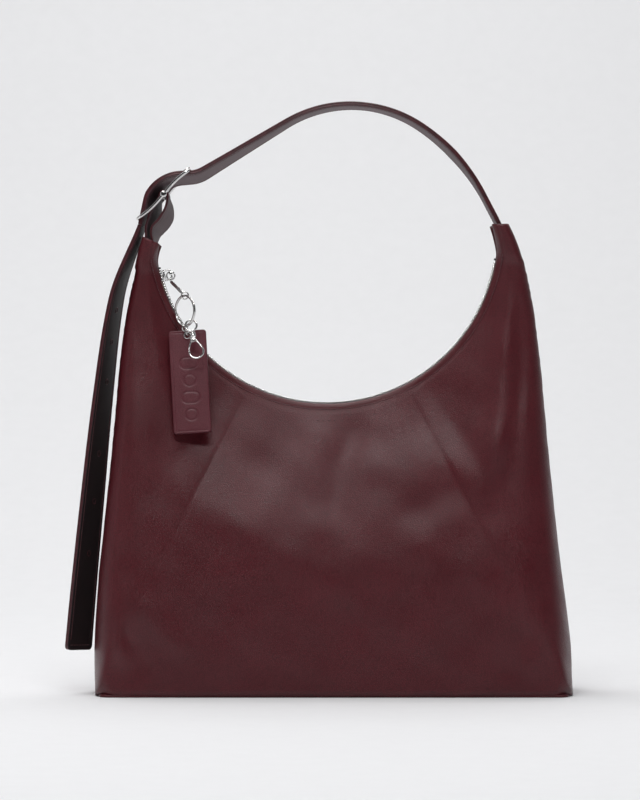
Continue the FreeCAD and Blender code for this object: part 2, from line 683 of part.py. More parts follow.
def buckle_loop():
    """One strip of leather folded round the buckle's centre bar."""
    across, up = SIZE["bar_x"] - LOOP_START[0], SIZE["bar_z"] - LOOP_START[1]
    distance = math.hypot(across, up)
    heading = math.degrees(math.atan2(up, across) + math.asin(LOOP_HUG / distance))
    straight = math.sqrt(distance ** 2 - LOOP_HUG ** 2)
    steps = [("run", straight), ("bend", LOOP_HUG, -158.0), ("run", 6.0), ("bend", 20.0, -55.0),
             ("bend", 12.0, 44.0), ("run", 6.0)]
    route = walk(LOOP_START, heading, steps)
    body = band("buckle_loop", route, 0.0, SIZE["loop_layer"], "Sheet.strap_width")
    round_tongue(body, "buckle_loop")
    above = Placement(Vector(0, 0, SIZE["bar_z"] + 1.0), Rotation())
    slot = new_sketch(body, "XY_Plane", "buckle_loop_slot_outline", above)
    polygon(slot, [(-134, -2.2), (-116, -2.2), (-116, 2.2), (-134, 2.2)])
    pocket(body, slot, "10", "buckle_loop_slot")


BUCKLE_TILT = 43.55
BUCKLE_PLACE = Placement(Vector(SIZE["bar_x"], 0, SIZE["bar_z"]), Rotation(ACROSS, -BUCKLE_TILT))


def buckle():
    """A cast frame with two curved rails and two end bars, and its centre bar."""
    body = doc.addObject("PartDesign::Body", "buckle_frame")
    reach_x = SIZE["buckle_reach"]
    rails = new_sketch(body, "XZ_Plane", "rail_outline")
    turn = 20.0
    radius = reach_x / (2 * math.sin(math.radians(turn / 2)))
    pieces = walk((-reach_x, 0.0), turn / 2, [("bend", radius, -turn), ("bend", radius, turn)])[0]
    ends = [edge_of(rails, pieces, offset) for offset in (-1.3, 1.3)]
    for first, last in zip(*ends):
        rails.addGeometry(Part.LineSegment(Vector(*first, 0), Vector(*last, 0)), False)
    pad(body, rails, "Sheet.buckle_width", "rails")
    bosses = new_sketch(body, "XZ_Plane", "boss_outline")
    circle(bosses, (0, 0), SIZE["boss_radius"])
    pad(body, bosses, "Sheet.buckle_width", "bosses")
    inside = new_sketch(body, "XZ_Plane", "inside_outline")
    polygon(inside, [(-40, -12), (40, -12), (40, 12), (-40, 12)])
    pocket(body, inside, "Sheet.buckle_inside", "inside")
    for number, shift in enumerate((-reach_x, reach_x)):
        end = new_sketch(body, "XZ_Plane", f"end_bar_outline_{number}")
        circle(end, (shift, 0), SIZE["end_bar_radius"])
        pad(body, end, "Sheet.buckle_width", f"end_bar_{number}")
    bore = new_sketch(body, "XZ_Plane", "bore_outline")
    circle(bore, (0, 0), SIZE["centre_bar_radius"])
    pocket(body, bore, "2 * Sheet.buckle_width", "bore")
    body.Placement = BUCKLE_PLACE
    register(body, "buckle_frame")
    bar = rod("buckle_bar", (0, -SIZE["buckle_width"] / 2, 0), (0, SIZE["buckle_width"] / 2, 0),
              "Sheet.centre_bar_radius")
    bar.Placement = BUCKLE_PLACE * bar.Placement
    register(bar, "buckle_bar")
    tip = SIZE["buckle_reach"] + 1.6
    rise = SIZE["end_bar_radius"] + 1.2
    stem = rod("prong_stem", (1.8, 0, 1.0), (tip, 0, rise), "1.0")
    curl = rod("prong_curl", (0, -1.5, 0), (0, 1.5, 0), "2.6")
    solid = doc.addObject("Part::MultiFuse", "prong_solid")
    solid.Shapes = [stem, curl]
    bore = rod("prong_bore", (0, -3, 0), (0, 3, 0), "Sheet.centre_bar_radius + 0.08")
    cut("buckle_prong", solid, bore, BUCKLE_PLACE)


# -------------------------------------------------------- inside the bag

BACK_LEAN = 14.5
BACK_PLACE = Placement(Vector(0, 20.5, 96), Rotation(Vector(1, 0, 0), BACK_LEAN))
FRONT_PLACE = Placement(Vector(0, -20.5, 96), Rotation(Vector(1, 0, 0), -BACK_LEAN))
POCKET_TRAVEL_START = -58.0


def inside_pockets():
    """A zip pocket on the back lining, a slip pocket and a label in front."""
    pouch = block("zip_pocket", ("Sheet.pocket_width", 1.6, "Sheet.pocket_height"), BACK_PLACE)
    register(pouch, "zip_pocket")
    top = SIZE["pocket_height"] / 2 - 12.0
    tape_place = BACK_PLACE * Placement(Vector(0, -1.1, top), Rotation())
    register(block("pocket_zip_tape", ("Sheet.pocket_width - 14", 0.6, 14), tape_place), "pocket_zip_tape")
    teeth_place = BACK_PLACE * Placement(Vector(0, -2.0, top), Rotation())
    teeth = block("pocket_zip_teeth", ("Sheet.pocket_width - 18", 1.2, 3.4), teeth_place)
    register(teeth, "pocket_zip_teeth")
    start = Vector(POCKET_TRAVEL_START, -3.55, top)
    case = block("pocket_slider_plate", (8.0, 1.2, 6.0), BACK_PLACE * Placement(start, Rotation()))
    wings = [block(f"pocket_slider_wing_{number}", (8.0, 1.7, 0.8),
                   BACK_PLACE * Placement(start + Vector(0, 0.9, shift), Rotation()))
             for number, shift in enumerate((-2.5, 2.5))]
    lug_place = BACK_PLACE * Placement(start + Vector(0, -1.3, 1.6), Rotation())
    lug = block("pocket_slider_lug", (3.2, 1.8, 1.2), lug_place)
    fused("pocket_zip_slider", [case, lug] + wings)
    hang = start + Vector(0, -2.6, -6.6)
    pull = block("pocket_pull", (4.0, 1.0, 15.0), BACK_PLACE * Placement(hang, Rotation()))
    register(pull, "pocket_pull")
    slip = block("slip_pocket", ("Sheet.slip_width", 1.4, "Sheet.slip_height"), FRONT_PLACE)
    register(slip, "slip_pocket")
    label_place = FRONT_PLACE * Placement(Vector(0, 1.3, 16.0), Rotation())
    register(block("inner_label", (46.0, 1.0, 16.0), label_place), "inner_label")


shell_pieces()
lining_pieces()
base_board()
zip_pieces()
slider()
pull_and_ring()
tag()
clasp()
strap()
tail()
strap_roots()
buckle_loop()
buckle()
inside_pockets()
doc.recompute()

for item in doc.Objects:
    if "Invalid" in item.State or "Error" in item.State:
        raise RuntimeError(f"{item.Name} failed: {item.State}")
for item in NODES:
    if item.Shape.isNull() or not item.Shape.isValid():
        raise RuntimeError(f"{item.Label} has no valid shape")

os.makedirs("parts", exist_ok=True)
for item in NODES:
    item.Shape.exportStep(f"parts/{item.Label}.step")
    print(f"{item.Label}: {item.Shape.Volume:.1f} mm3 in {len(item.Shape.Solids)} solids")
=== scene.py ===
"""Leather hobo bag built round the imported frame.  Metres, +X right, +Y back, +Z up."""
import math

import bmesh
import bpy
import numpy as np
from mathutils import Matrix, Vector


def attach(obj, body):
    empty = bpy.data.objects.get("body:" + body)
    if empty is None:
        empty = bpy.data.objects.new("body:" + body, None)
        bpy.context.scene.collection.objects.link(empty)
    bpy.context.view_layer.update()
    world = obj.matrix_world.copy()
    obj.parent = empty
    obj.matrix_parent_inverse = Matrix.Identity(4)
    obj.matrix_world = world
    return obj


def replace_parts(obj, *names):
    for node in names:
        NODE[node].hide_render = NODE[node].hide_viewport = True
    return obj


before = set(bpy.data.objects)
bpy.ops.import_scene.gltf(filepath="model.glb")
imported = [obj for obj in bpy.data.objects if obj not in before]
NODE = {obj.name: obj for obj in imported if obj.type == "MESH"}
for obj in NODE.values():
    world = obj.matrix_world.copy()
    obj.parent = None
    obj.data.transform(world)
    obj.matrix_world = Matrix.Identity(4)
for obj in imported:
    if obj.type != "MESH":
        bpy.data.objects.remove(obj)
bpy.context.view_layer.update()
MM = 0.001
RIGHT, ACROSS, UP = Vector((1, 0, 0)), Vector((0, 1, 0)), Vector((0, 0, 1))

# Driving sizes, as in the part.
MOUTH = Vector((-3.4, 0.0, 346.0))
MOUTH_R = 129.0
FLEX_Z = 352.0
WIDE = 30.0
LAYER = 1.6
BAR = (-125.25, 373.7)
BUCKLE_TILT = math.radians(43.55)
RING = Vector((-109.1, -20.0, 286.4))
RING_RADIUS = 11.4
TAG_HOLE = Vector((-107.3, -17.2, 267.9))
TAG_LEAN, TAG_TILT = math.radians(10.0), math.radians(3.5)

# ------------------------------------------------------------- node materials


class Shader:
    """A material's node tree with short ways to add and join nodes."""

    def __init__(self, name):
        self.material = bpy.data.materials.new(name)
        self.material.use_nodes = True
        self.nodes = self.material.node_tree.nodes
        self.links = self.material.node_tree.links
        self.principled = self.nodes["Principled BSDF"]
        self.place = self.nodes.new("ShaderNodeTexCoord").outputs["Object"]

    def set(self, **values):
        """Sets the shader's own sockets."""
        for key, value in values.items():
            self.principled.inputs[key.replace("_", " ")].default_value = value

    def join(self, output, name):
        self.links.new(output, self.principled.inputs[name])

    def stretched(self, scale):
        mapping = self.nodes.new("ShaderNodeMapping")
        mapping.inputs["Scale"].default_value = scale
        self.links.new(self.place, mapping.inputs["Vector"])
        return mapping.outputs["Vector"]

    def texture(self, kind, scale, vector=None):
        """A texture node of one scale, laid on the object or along a given vector."""
        node = self.nodes.new("ShaderNodeTex" + kind)
        node.inputs["Scale"].default_value = scale
        self.links.new(vector or self.place, node.inputs["Vector"])
        return node

    def noise(self, scale, detail=3.0, rough=0.5, vector=None):
        node = self.texture("Noise", scale, vector)
        node.inputs["Detail"].default_value = detail
        node.inputs["Roughness"].default_value = rough
        return node.outputs["Fac"]

    def cells(self, scale):
        node = self.texture("Voronoi", scale)
        node.feature = "DISTANCE_TO_EDGE"
        return node.outputs["Distance"]

    def wave(self, scale, direction):
        node = self.texture("Wave", scale)
        node.bands_direction = direction
        return node.outputs["Fac"]

    def math(self, kind, first, second):
        node = self.nodes.new("ShaderNodeMath")
        node.operation = kind
        for socket, value in zip(node.inputs, (first, second)):
            if isinstance(value, (int, float)):
                socket.default_value = value
            else:
                self.links.new(value, socket)
        return node.outputs["Value"]

    def span(self, value, low, high, new_low, new_high):
        node = self.nodes.new("ShaderNodeMapRange")
        node.clamp = True
        names = ("From Min", "From Max", "To Min", "To Max")
        for name, number in zip(names, (low, high, new_low, new_high)):
            node.inputs[name].default_value = number
        self.links.new(value, node.inputs["Value"])
        return node.outputs["Result"]

    def mixed(self, factor, first, second):
        node = self.nodes.new("ShaderNodeMix")
        node.data_type = "RGBA"
        self.links.new(factor, node.inputs["Factor"])
        for name, colour in (("A", first), ("B", second)):
            socket = [item for item in node.inputs if item.name == name and item.type == "RGBA"][0]
            if isinstance(colour, tuple):
                socket.default_value = colour + (1.0,)
            else:
                self.links.new(colour, socket)
        return [item for item in node.outputs if item.type == "RGBA"][0]

    def bump(self, height, strength, distance):
        node = self.nodes.new("ShaderNodeBump")
        node.inputs["Strength"].default_value = strength
        node.inputs["Distance"].default_value = distance
        self.links.new(height, node.inputs["Height"])
        self.join(node.outputs["Normal"], "Normal")


OXBLOOD = (0.080, 0.0066, 0.0112)
OXBLOOD_LIGHT = (0.104, 0.0100, 0.0160)
OXBLOOD_DARK = (0.046, 0.0040, 0.0064)


def leather(name, base=OXBLOOD, light=OXBLOOD_LIGHT, dark=OXBLOOD_DARK, grain=780.0, depth=0.00010,
            roughness=0.38):
    """Pebbled, lightly waxed hide: cells with soft valleys, pores and slow colour drift."""
    shader = Shader(name)
    warp = shader.noise(grain * 0.35, 2.0)
    cells = shader.cells(grain)
    fine = shader.cells(grain * 2.3)
    plateau = shader.span(cells, 0.0, 0.22, 0.0, 1.0)
    small = shader.span(fine, 0.0, 0.25, 0.0, 0.35)
    height = shader.math("ADD", plateau, small)
    height = shader.math("ADD", height, shader.math("MULTIPLY", warp, 0.9))
    drift = shader.noise(26.0, 4.0, 0.6)
    tone = shader.mixed(shader.span(drift, 0.3, 0.72, 0.0, 1.0), base, light)
    tone = shader.mixed(shader.span(plateau, 0.0, 0.9, 0.75, 0.0), tone, dark)
    shader.join(tone, "Base Color")
    gloss = shader.span(shader.noise(60.0, 3.0), 0.3, 0.7, roughness - 0.05, roughness + 0.07)
    shader.join(gloss, "Roughness")
    shader.set(Specular_IOR_Level=0.42, Coat_Weight=0.0)
    shader.bump(height, 0.55, depth)
    return shader.material


def backing(name, light):
    """The strap's napped inner face in a given tone: grey-mauve on the strap, and near black on the tail,
    where the dark tone is painted shade.
    """
    shader = Shader(name)
    nap = shader.noise(2400.0, 3.0, 0.7)
    drift = shader.noise(70.0, 3.0)
    tone = shader.mixed(shader.span(drift, 0.3, 0.7, 0.0, 1.0), light, tuple(1.4 * value for value in light))
    tone = shader.mixed(shader.span(nap, 0.35, 0.6, 0.6, 0.0), tone, tuple(0.65 * value for value in light))
    shader.join(tone, "Base Color")
    shader.set(Roughness=0.60, Sheen_Weight=0.05, Sheen_Roughness=0.4)
    shader.bump(nap, 0.4, 0.00008)
    return shader.material


def edge_paint(name):
    """The glossy painted edge of cut leather."""
    shader = Shader(name)
    drift = shader.noise(300.0, 3.0)
    patches = shader.span(drift, 0.35, 0.65, 0.0, 1.0)
    tone = shader.mixed(patches, (0.040, 0.0055, 0.0085), (0.075, 0.0110, 0.0160))
    shader.join(tone, "Base Color")
    shader.set(Roughness=0.36)
    shader.bump(drift, 0.3, 0.00012)
    return shader.material


def thread(name):
    """Twisted polyester thread."""
    shader = Shader(name)
    twist = shader.wave(1500.0, "DIAGONAL")
    tone = shader.mixed(twist, (0.045, 0.0065, 0.0100), (0.120, 0.0230, 0.0320))
    shader.join(tone, "Base Color")
    shader.set(Roughness=0.5, Sheen_Weight=0.2)
    shader.bump(twist, 0.5, 0.00010)
    return shader.material


def nickel(name, tint=(0.80, 0.79, 0.78), roughness=0.13):
    """Polished nickel plate with faint polishing marks and handling haze."""
    shader = Shader(name)
    marks = shader.noise(900.0, 4.0, 0.65, shader.stretched((1.0, 1.0, 6.0)))
    haze = shader.noise(90.0, 3.0)
    tone = shader.mixed(shader.span(haze, 0.35, 0.7, 0.0, 1.0), tint, tuple(0.86 * value for value in tint))
    shader.join(tone, "Base Color")
    shader.join(shader.span(haze, 0.3, 0.7, roughness - 0.05, roughness + 0.08), "Roughness")
    shader.set(Metallic=1.0)
    shader.bump(marks, 0.08, 0.00003)
    return shader.material


def weave(name, first, second, pitch):
    """Plain-woven cloth: two crossed rows of yarn."""
    shader = Shader(name)
    warp = shader.wave(pitch, "X")
    weft = shader.wave(pitch, "Z")
    depth_wave = shader.wave(pitch, "Y")
    both = shader.math("MAXIMUM", shader.math("MULTIPLY", warp, depth_wave), weft)
    tone = shader.mixed(both, first, second)
    shader.join(tone, "Base Color")
    shader.set(Roughness=0.85, Sheen_Weight=0.3)
    shader.bump(both, 0.5, 0.00012)
    return shader.material


def plastic(name, colour):
    """Dull moulded board with a fine spark texture."""
    shader = Shader(name)
    spark = shader.noise(1600.0, 4.0, 0.7)
    tone = shader.mixed(spark, colour, tuple(1.6 * value for value in colour))
    shader.join(tone, "Base Color")
    shader.set(Roughness=0.6)
    shader.bump(spark, 0.3, 0.00008)
    return shader.material


LEATHER = leather("bag_leather")
TAG_LEATHER = leather("tag_leather", (0.112, 0.021, 0.030), (0.135, 0.028, 0.039), (0.066, 0.010, 0.015),
                      1000.0, 0.00006, 0.42)
STRAP_LEATHER = leather("strap_leather", grain=900.0, depth=0.00008, roughness=0.40)
BACKING = backing("strap_backing", (0.072, 0.038, 0.044))
# Painted shade: the tail's inner face gets a near-black backing colour that stands in for the bag's shadow on
# it; the real backing is the strap's grey-mauve.
TAIL_BACKING_PAINTED_SHADE = backing("tail_backing_painted_shade", (0.013, 0.007, 0.008))
EDGE = edge_paint("edge_paint")
THREAD = thread("thread")
NICKEL = nickel("nickel")
TAPE = weave("zip_tape", (0.020, 0.0045, 0.0065), (0.048, 0.0100, 0.0140), 1400.0)
LINING = weave("lining_cloth", (0.150, 0.105, 0.085), (0.235, 0.170, 0.140), 900.0)
BOARD = plastic("board", (0.030, 0.030, 0.032))


# ----------------------------------------------------------------- mesh tools


def add_mesh(name, points, faces, materials, body, indices=None):
    """A finished piece from points in millimetres."""
    mesh = bpy.data.meshes.new(name)
    mesh.from_pydata([tuple(MM * value for value in point) for point in points], [], faces)
    for material in materials:
        mesh.materials.append(material)
    if indices is not None:
        mesh.polygons.foreach_set("material_index", indices)
    mesh.polygons.foreach_set("use_smooth", [True] * len(faces))
    mesh.update()
    tidy = bmesh.new()
    tidy.from_mesh(mesh)
    bmesh.ops.recalc_face_normals(tidy, faces=tidy.faces)
    tidy.to_mesh(mesh)
    tidy.free()
    piece = bpy.data.objects.new(name, mesh)
    bpy.context.scene.collection.objects.link(piece)
    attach(piece, body)
    return piece


def apply_modifiers(piece):
    """Bakes the piece's modifiers into its mesh."""
    graph = bpy.context.evaluated_depsgraph_get()
    mesh = bpy.data.meshes.new_from_object(piece.evaluated_get(graph))
    piece.modifiers.clear()
    piece.data = mesh


def crease_by_angle(piece, degrees):
    """Smooth shading with sharp edges where faces meet at more than an angle."""
    tidy = bmesh.new()
    tidy.from_mesh(piece.data)
    for edge in tidy.edges:
        if len(edge.link_faces) == 2:
            edge.smooth = edge.calc_face_angle(0.0) < math.radians(degrees)
    tidy.to_mesh(piece.data)
    tidy.free()


def walk(start, heading, steps, spacing=1.5):
    """Follows runs and bends in the XZ plane; returns points (x, z, heading, distance)."""
    x, z = start
    travelled = 0.0
    points = [(x, z, heading, travelled)]
    for step in steps:
        length = step[1] if step[0] == "run" else step[1] * math.radians(abs(step[2]))
        count = max(1, int(round(length / spacing)))
        turn = 0.0 if step[0] == "run" else step[2] / count
        for _ in range(count):
            middle = math.radians(heading + turn / 2)
            x += length / count * math.cos(middle)
            z += length / count * math.sin(middle)
            heading += turn
            travelled += length / count
            points.append((x, z, heading, travelled))
    return points


def turns(sides):
    """Angles spaced evenly round a circle."""
    return [2 * math.pi * step / sides for step in range(sides)]


def circle(centre, radius, u, v, sides):
    """Points round a circle in the plane of two unit vectors."""
    return [centre + u * (radius * math.cos(turn)) + v * (radius * math.sin(turn)) for turn in turns(sides)]


def squared(value, power):
    """A cosine or sine pushed outwards, so that a ring of them has flatter sides."""
    return math.copysign(abs(value) ** power, value)


def rounded_outline(half_x, half_y, corner):
    """A rectangle with round corners, anticlockwise from its right side."""
    outline = []
    for cx, cy, first in ((half_x - corner, half_y - corner, 0), (corner - half_x, half_y - corner, 90),
                          (corner - half_x, corner - half_y, 180), (half_x - corner, corner - half_y, 270)):
        for step in range(7):
            turn = math.radians(first + 15 * step)
            outline.append((cx + corner * math.cos(turn), cy + corner * math.sin(turn)))
    return outline


def grid_faces(columns):
    """Faces between neighbouring columns of points."""
    rows = len(columns[0])
    return [(corner, corner + 1, corner + rows + 1, corner + rows)
            for step in range(len(columns) - 1)
            for corner in range(step * rows, (step + 1) * rows - 1)]


def skin(rings, close_ends=True):
    """Faces that join equal closed rings of points, with capped ends."""
    points = [point for ring in rings for point in ring]
    size = len(rings[0])
    faces = []
    for row in range(len(rings) - 1):
        for step in range(size):
            following = (step + 1) % size
            faces.append((row * size + step, row * size + following,
                          (row + 1) * size + following, (row + 1) * size + step))
    if close_ends:
        faces.append(tuple(range(size))[::-1])
        last = (len(rings) - 1) * size
        faces.append(tuple(last + step for step in range(size)))
    return points, faces


def tube_rings(path, radius, sides=12, closed=False, flat=1.0):
    """Rings of points round a path of vectors, kept from twisting."""
    path = [Vector(point) for point in path]
    count = len(path)
    tangents = []
    for index in range(count):
        if closed:
            way = path[(index + 1) % count] - path[index - 1]
        else:
            way = path[min(index + 1, count - 1)] - path[max(index - 1, 0)]
        tangents.append(way.normalized())
    normal = tangents[0].orthogonal().normalized()
    rings = []
    for point, tangent in zip(path, tangents):
        normal = (normal - tangent * normal.dot(tangent)).normalized()
        side = tangent.cross(normal)
        rings.append([point + normal * (radius * math.cos(turn)) + side * (radius * flat * math.sin(turn))
                      for turn in turns(sides)])
    return rings


class Pile:
    """Collects points and faces of many small things into one piece."""

    def __init__(self):
        self.points, self.faces = [], []

    def add(self, points, faces):
        base = len(self.points)
        self.points += [tuple(point) for point in points]
        self.faces += [tuple(base + corner for corner in face) for face in faces]

    def tube(self, path, radius, sides=12, closed=False):
        rings = tube_rings(path, radius, sides, closed)
        if closed:
            first, last = rings[0], Vector(rings[-1][0])
            offset = min(range(sides), key=lambda shift: (last - Vector(first[shift])).length)
            rings.append(first[offset:] + first[:offset])
        self.add(*skin(rings, close_ends=not closed))

    def capsule(self, start, end, radius, sides=8):
        """A short rod with round ends."""
        start, end = Vector(start), Vector(end)
        way = (end - start).normalized()
        normal = way.orthogonal().normalized()
        side = way.cross(normal)
        rings = []
        for tip, outwards, steps in ((start, -way, (0.0, 0.35, 0.8, 1.0)), (end, way, (1.0, 0.8, 0.35, 0.0))):
            for step in steps:
                size = max(0.05, math.sqrt(1.0 - (1.0 - step) ** 2))
                middle = tip + outwards * radius * (1.0 - step)
                rings.append(circle(middle, radius * size, normal, side, sides))
        self.add(*skin(rings))

    def piece(self, name, materials, body, slot):
        return add_mesh(name, self.points, self.faces, materials, body)


def stitches(pile, path, normal_at, length=2.3, gap=0.9, radius=0.28, sink=0.08):
    """Lays stitches end to end along a path of points, on the side of its normals."""
    distances = [0.0]
    for first, second in zip(path, path[1:]):
        distances.append(distances[-1] + (Vector(second) - Vector(first)).length)
    pitch = length + gap
    count = int(distances[-1] // pitch)
    xs, ys, zs = [[point[axis] for point in path] for axis in range(3)]

    def at(distance):
        point = Vector([float(np.interp(distance, distances, values)) for values in (xs, ys, zs)])
        return point + normal_at(distance / distances[-1]) * (radius - sink)

    for number in range(count):
        start = number * pitch + gap / 2
        pile.capsule(at(start), at(start + length), radius, 6)


# ------------------------------------------------------------- the bag's form

SIDES = [(0.0, 176.0), (28.0, 177.5), (73.0, 174.5), (133.0, 168.0), (192.0, 162.0),
         (252.0, 156.5), (296.0, 150.5), (326.0, 144.0), (332.0, 142.4)]
SECTION_ANGLES = [-88.5, -80, -76, -66, -55, -45, -34, -26.5, -13, 0, 13, 27.4, 34, 45, 55, 66, 79, 83, 92.5]
SECTION_DEPTHS = [
    (17.5, 18.5, 18.5, 18.5, 17.5), (8, 14, 16, 16.5, 14.5), (6.5, 11, 14, 14.5, 12.5),
    (6, 10, 14.5, 15, 12), (6, 11, 18, 20, 16), (6, 12, 22, 28, 23), (6, 14, 29, 37, 33),
    (6, 20, 38, 46, 46), (6, 21, 39, 46.5, 48), (6, 21, 39, 46.5, 48), (6, 21, 39, 46.5, 48),
    (6, 20, 38, 46, 46), (6, 14, 29, 37, 33), (6, 12, 22, 28, 23), (6, 11, 18, 20, 16),
    (6, 10, 14.5, 15, 12), (6.5, 11, 14, 14.5, 12.5), (8, 14, 16, 16.5, 14.5), (17.5, 18.5, 18.5, 18.5, 17.5)]
STEPS_DOWN = (0.0, 0.2, 0.45, 0.75, 1.0)
LEFT_CORNER, RIGHT_CORNER = -26.5, 27.4


def curve_through(xs, ys, x):
    """Smooth curve through points that never overshoots them."""
    xs, ys = list(xs), list(ys)
    if x <= xs[0]:
        return ys[0]
    if x >= xs[-1]:
        return ys[-1]
    slopes = [(b - a) / (d - c) for a, b, c, d in zip(ys, ys[1:], xs, xs[1:])]

    def tangent(index):
        if index == 0:
            return slopes[0]
        if index == len(xs) - 1:
            return slopes[-1]
        before, after = slopes[index - 1], slopes[index]
        if before * after <= 0:
            return 0.0
        return 2 * before * after / (before + after)

    index = max(i for i in range(len(xs) - 1) if xs[i] <= x)
    width = xs[index + 1] - xs[index]
    t = (x - xs[index]) / width
    first, second = tangent(index) * width, tangent(index + 1) * width
    return ((2 * t ** 3 - 3 * t ** 2 + 1) * ys[index] + (t ** 3 - 2 * t ** 2 + t) * first
            + (-2 * t ** 3 + 3 * t ** 2) * ys[index + 1] + (t ** 3 - t ** 2) * second)


def outer_radius(angle):
    """Distance from the mouth's centre to the outline, in a direction from straight down."""
    across, down = math.sin(math.radians(angle)), math.cos(math.radians(angle))
    if angle < -79.0:
        return curve_through((-88.5, -79.0), (137.8, 146.6), angle)
    if angle > 82.0:
        return curve_through((82.0, 92.5), (148.4, 136.4), angle)
    floor = MOUTH.z / down
    distance = MOUTH_R
    heights = [height for height, _ in SIDES]
    widths = [width for _, width in SIDES]
    while distance < floor:
        height = MOUTH.z - distance * down
        if abs(MOUTH.x + distance * across) >= curve_through(heights, widths, height):
            return distance
        distance += 0.5
    return floor


def inner_radius(angle):
    """The mouth's edge, which turns in a little to the horns' tops."""
    if angle < -80.0:
        return curve_through((-88.5, -80.0), (124.8, MOUTH_R), angle)
    if angle > 83.0:
        return curve_through((83.0, 92.5), (MOUTH_R, 123.5), angle)
    return MOUTH_R


def depth_at(angle, share):
    """Half depth of the pillow form."""
    depths = [curve_through(SECTION_ANGLES, along, angle) for along in zip(*SECTION_DEPTHS)]
    return curve_through(STEPS_DOWN, depths, share)


def floor_share(angle):
    """1 over the flat base, 0 beside it."""
    left = min(max((angle - LEFT_CORNER + 1.5) / 3.0, 0.0), 1.0)
    right = min(max((RIGHT_CORNER - angle + 1.5) / 3.0, 0.0), 1.0)
    return min(left, right)


# Soft folds and swellings of the panels: centre, direction in degrees, half
# length, half width, height.  A minus height is a valley.
FRONT_FOLDS = [
    (10.0, 168.0, 78.0, 34.0, 11.0, -2.0),
    (-14.0, 176.0, 70.0, 30.0, 16.0, 1.6),
    (42.0, 172.0, 20.0, 34.0, 17.0, 2.4),
    (92.0, 178.0, 40.0, 42.0, 20.0, 2.8),
    (70.0, 140.0, 28.0, 40.0, 14.0, -1.6),
    (-124.0, 205.0, -72.0, 70.0, 10.0, 0.5),
    (-103.0, 150.0, -62.0, 40.0, 15.0, 0.6),
    (-137.0, 236.0, -76.0, 60.0, 6.0, -1.6),
    (-158.0, 46.0, -66.0, 24.0, 7.0, 2.6),
    (-146.0, 34.0, -58.0, 20.0, 6.0, -2.4),
    (-126.0, 52.0, -48.0, 26.0, 9.0, 1.8),
    (128.0, 236.0, 84.0, 74.0, 8.0, 2.6),
    (143.0, 226.0, 80.0, 60.0, 7.0, -1.8),
    (120.0, 176.0, 62.0, 40.0, 13.0, 1.8),
    (150.0, 40.0, 70.0, 26.0, 9.0, 1.8),
    (138.0, 30.0, 62.0, 22.0, 8.0, -1.6),
    (20.0, 96.0, 4.0, 90.0, 26.0, 1.8),
    (-60.0, 120.0, -30.0, 44.0, 20.0, 1.4),
]
BACK_FOLDS = [
    (-20.0, 170.0, 74.0, 36.0, 10.0, -2.4), (24.0, 168.0, 104.0, 40.0, 16.0, 2.2),
    (-80.0, 172.0, -40.0, 44.0, 16.0, 2.4), (118.0, 214.0, 78.0, 66.0, 9.0, 2.2),
    (-120.0, 214.0, -76.0, 66.0, 9.0, 2.2), (96.0, 120.0, 34.0, 44.0, 13.0, -1.6),
    (-150.0, 40.0, -64.0, 26.0, 8.0, -1.8), (148.0, 44.0, 66.0, 26.0, 8.0, 2.0),
    (0.0, 92.0, 2.0, 90.0, 28.0, 1.6),
]


def folds(x, z, table):
    """Height of the soft folds at a place on a panel."""
    total = 0.0
    for cx, cz, heading, length, width, height in table:
        along_x, along_z = math.cos(math.radians(heading)), math.sin(math.radians(heading))
        dx, dz = x - cx, z - cz
        along = dx * along_x + dz * along_z
        across = -dx * along_z + dz * along_x
        across += 0.10 * width * math.sin(along / length * 2.2)
        total += height * math.exp(-(across / width) ** 2 - (along / length) ** 4)
    behind_tag = math.exp(-((x + 120.0) / 36.0) ** 2 - ((z - 220.0) / 50.0) ** 2)
    total += 0.35 * math.sin(0.061 * x + 1.3) * math.sin(0.083 * z + 0.4)
    total += 0.22 * math.sin(0.137 * x - 0.09 * z + 2.0) + 0.16 * math.sin(0.17 * z + 0.11 * x)
    return total * (1.0 - behind_tag) - 0.9 * behind_tag


PANEL_ROWS = 74
EDGE_ROWS = 16
HIDE = 1.5
MOUTH_SEAM = 4.2


def widened(x, z):
    """The bag sags a little wider near the floor at its right, and higher up at its left."""
    right = 4.0 * max(0.0, 1 - z / 95.0) * min(1.0, max(0.0, x / 150.0))
    rise = min(1.0, max(0.0, (z - 30.0) / 70.0)) * min(1.0, max(0.0, (326.0 - z) / 50.0))
    return x + right - 1.4 * rise * min(1.0, max(0.0, (-x - 110.0) / 40.0))


def horn_slant(x, z):
    """How far the left horn's top slopes down towards the mouth."""
    return 6.5 * min(1.0, max(0.0, (z - 326.0) / 16.0)) * min(1.0, max(0.0, (x + 141.0) / 13.0)) * (x < 0)


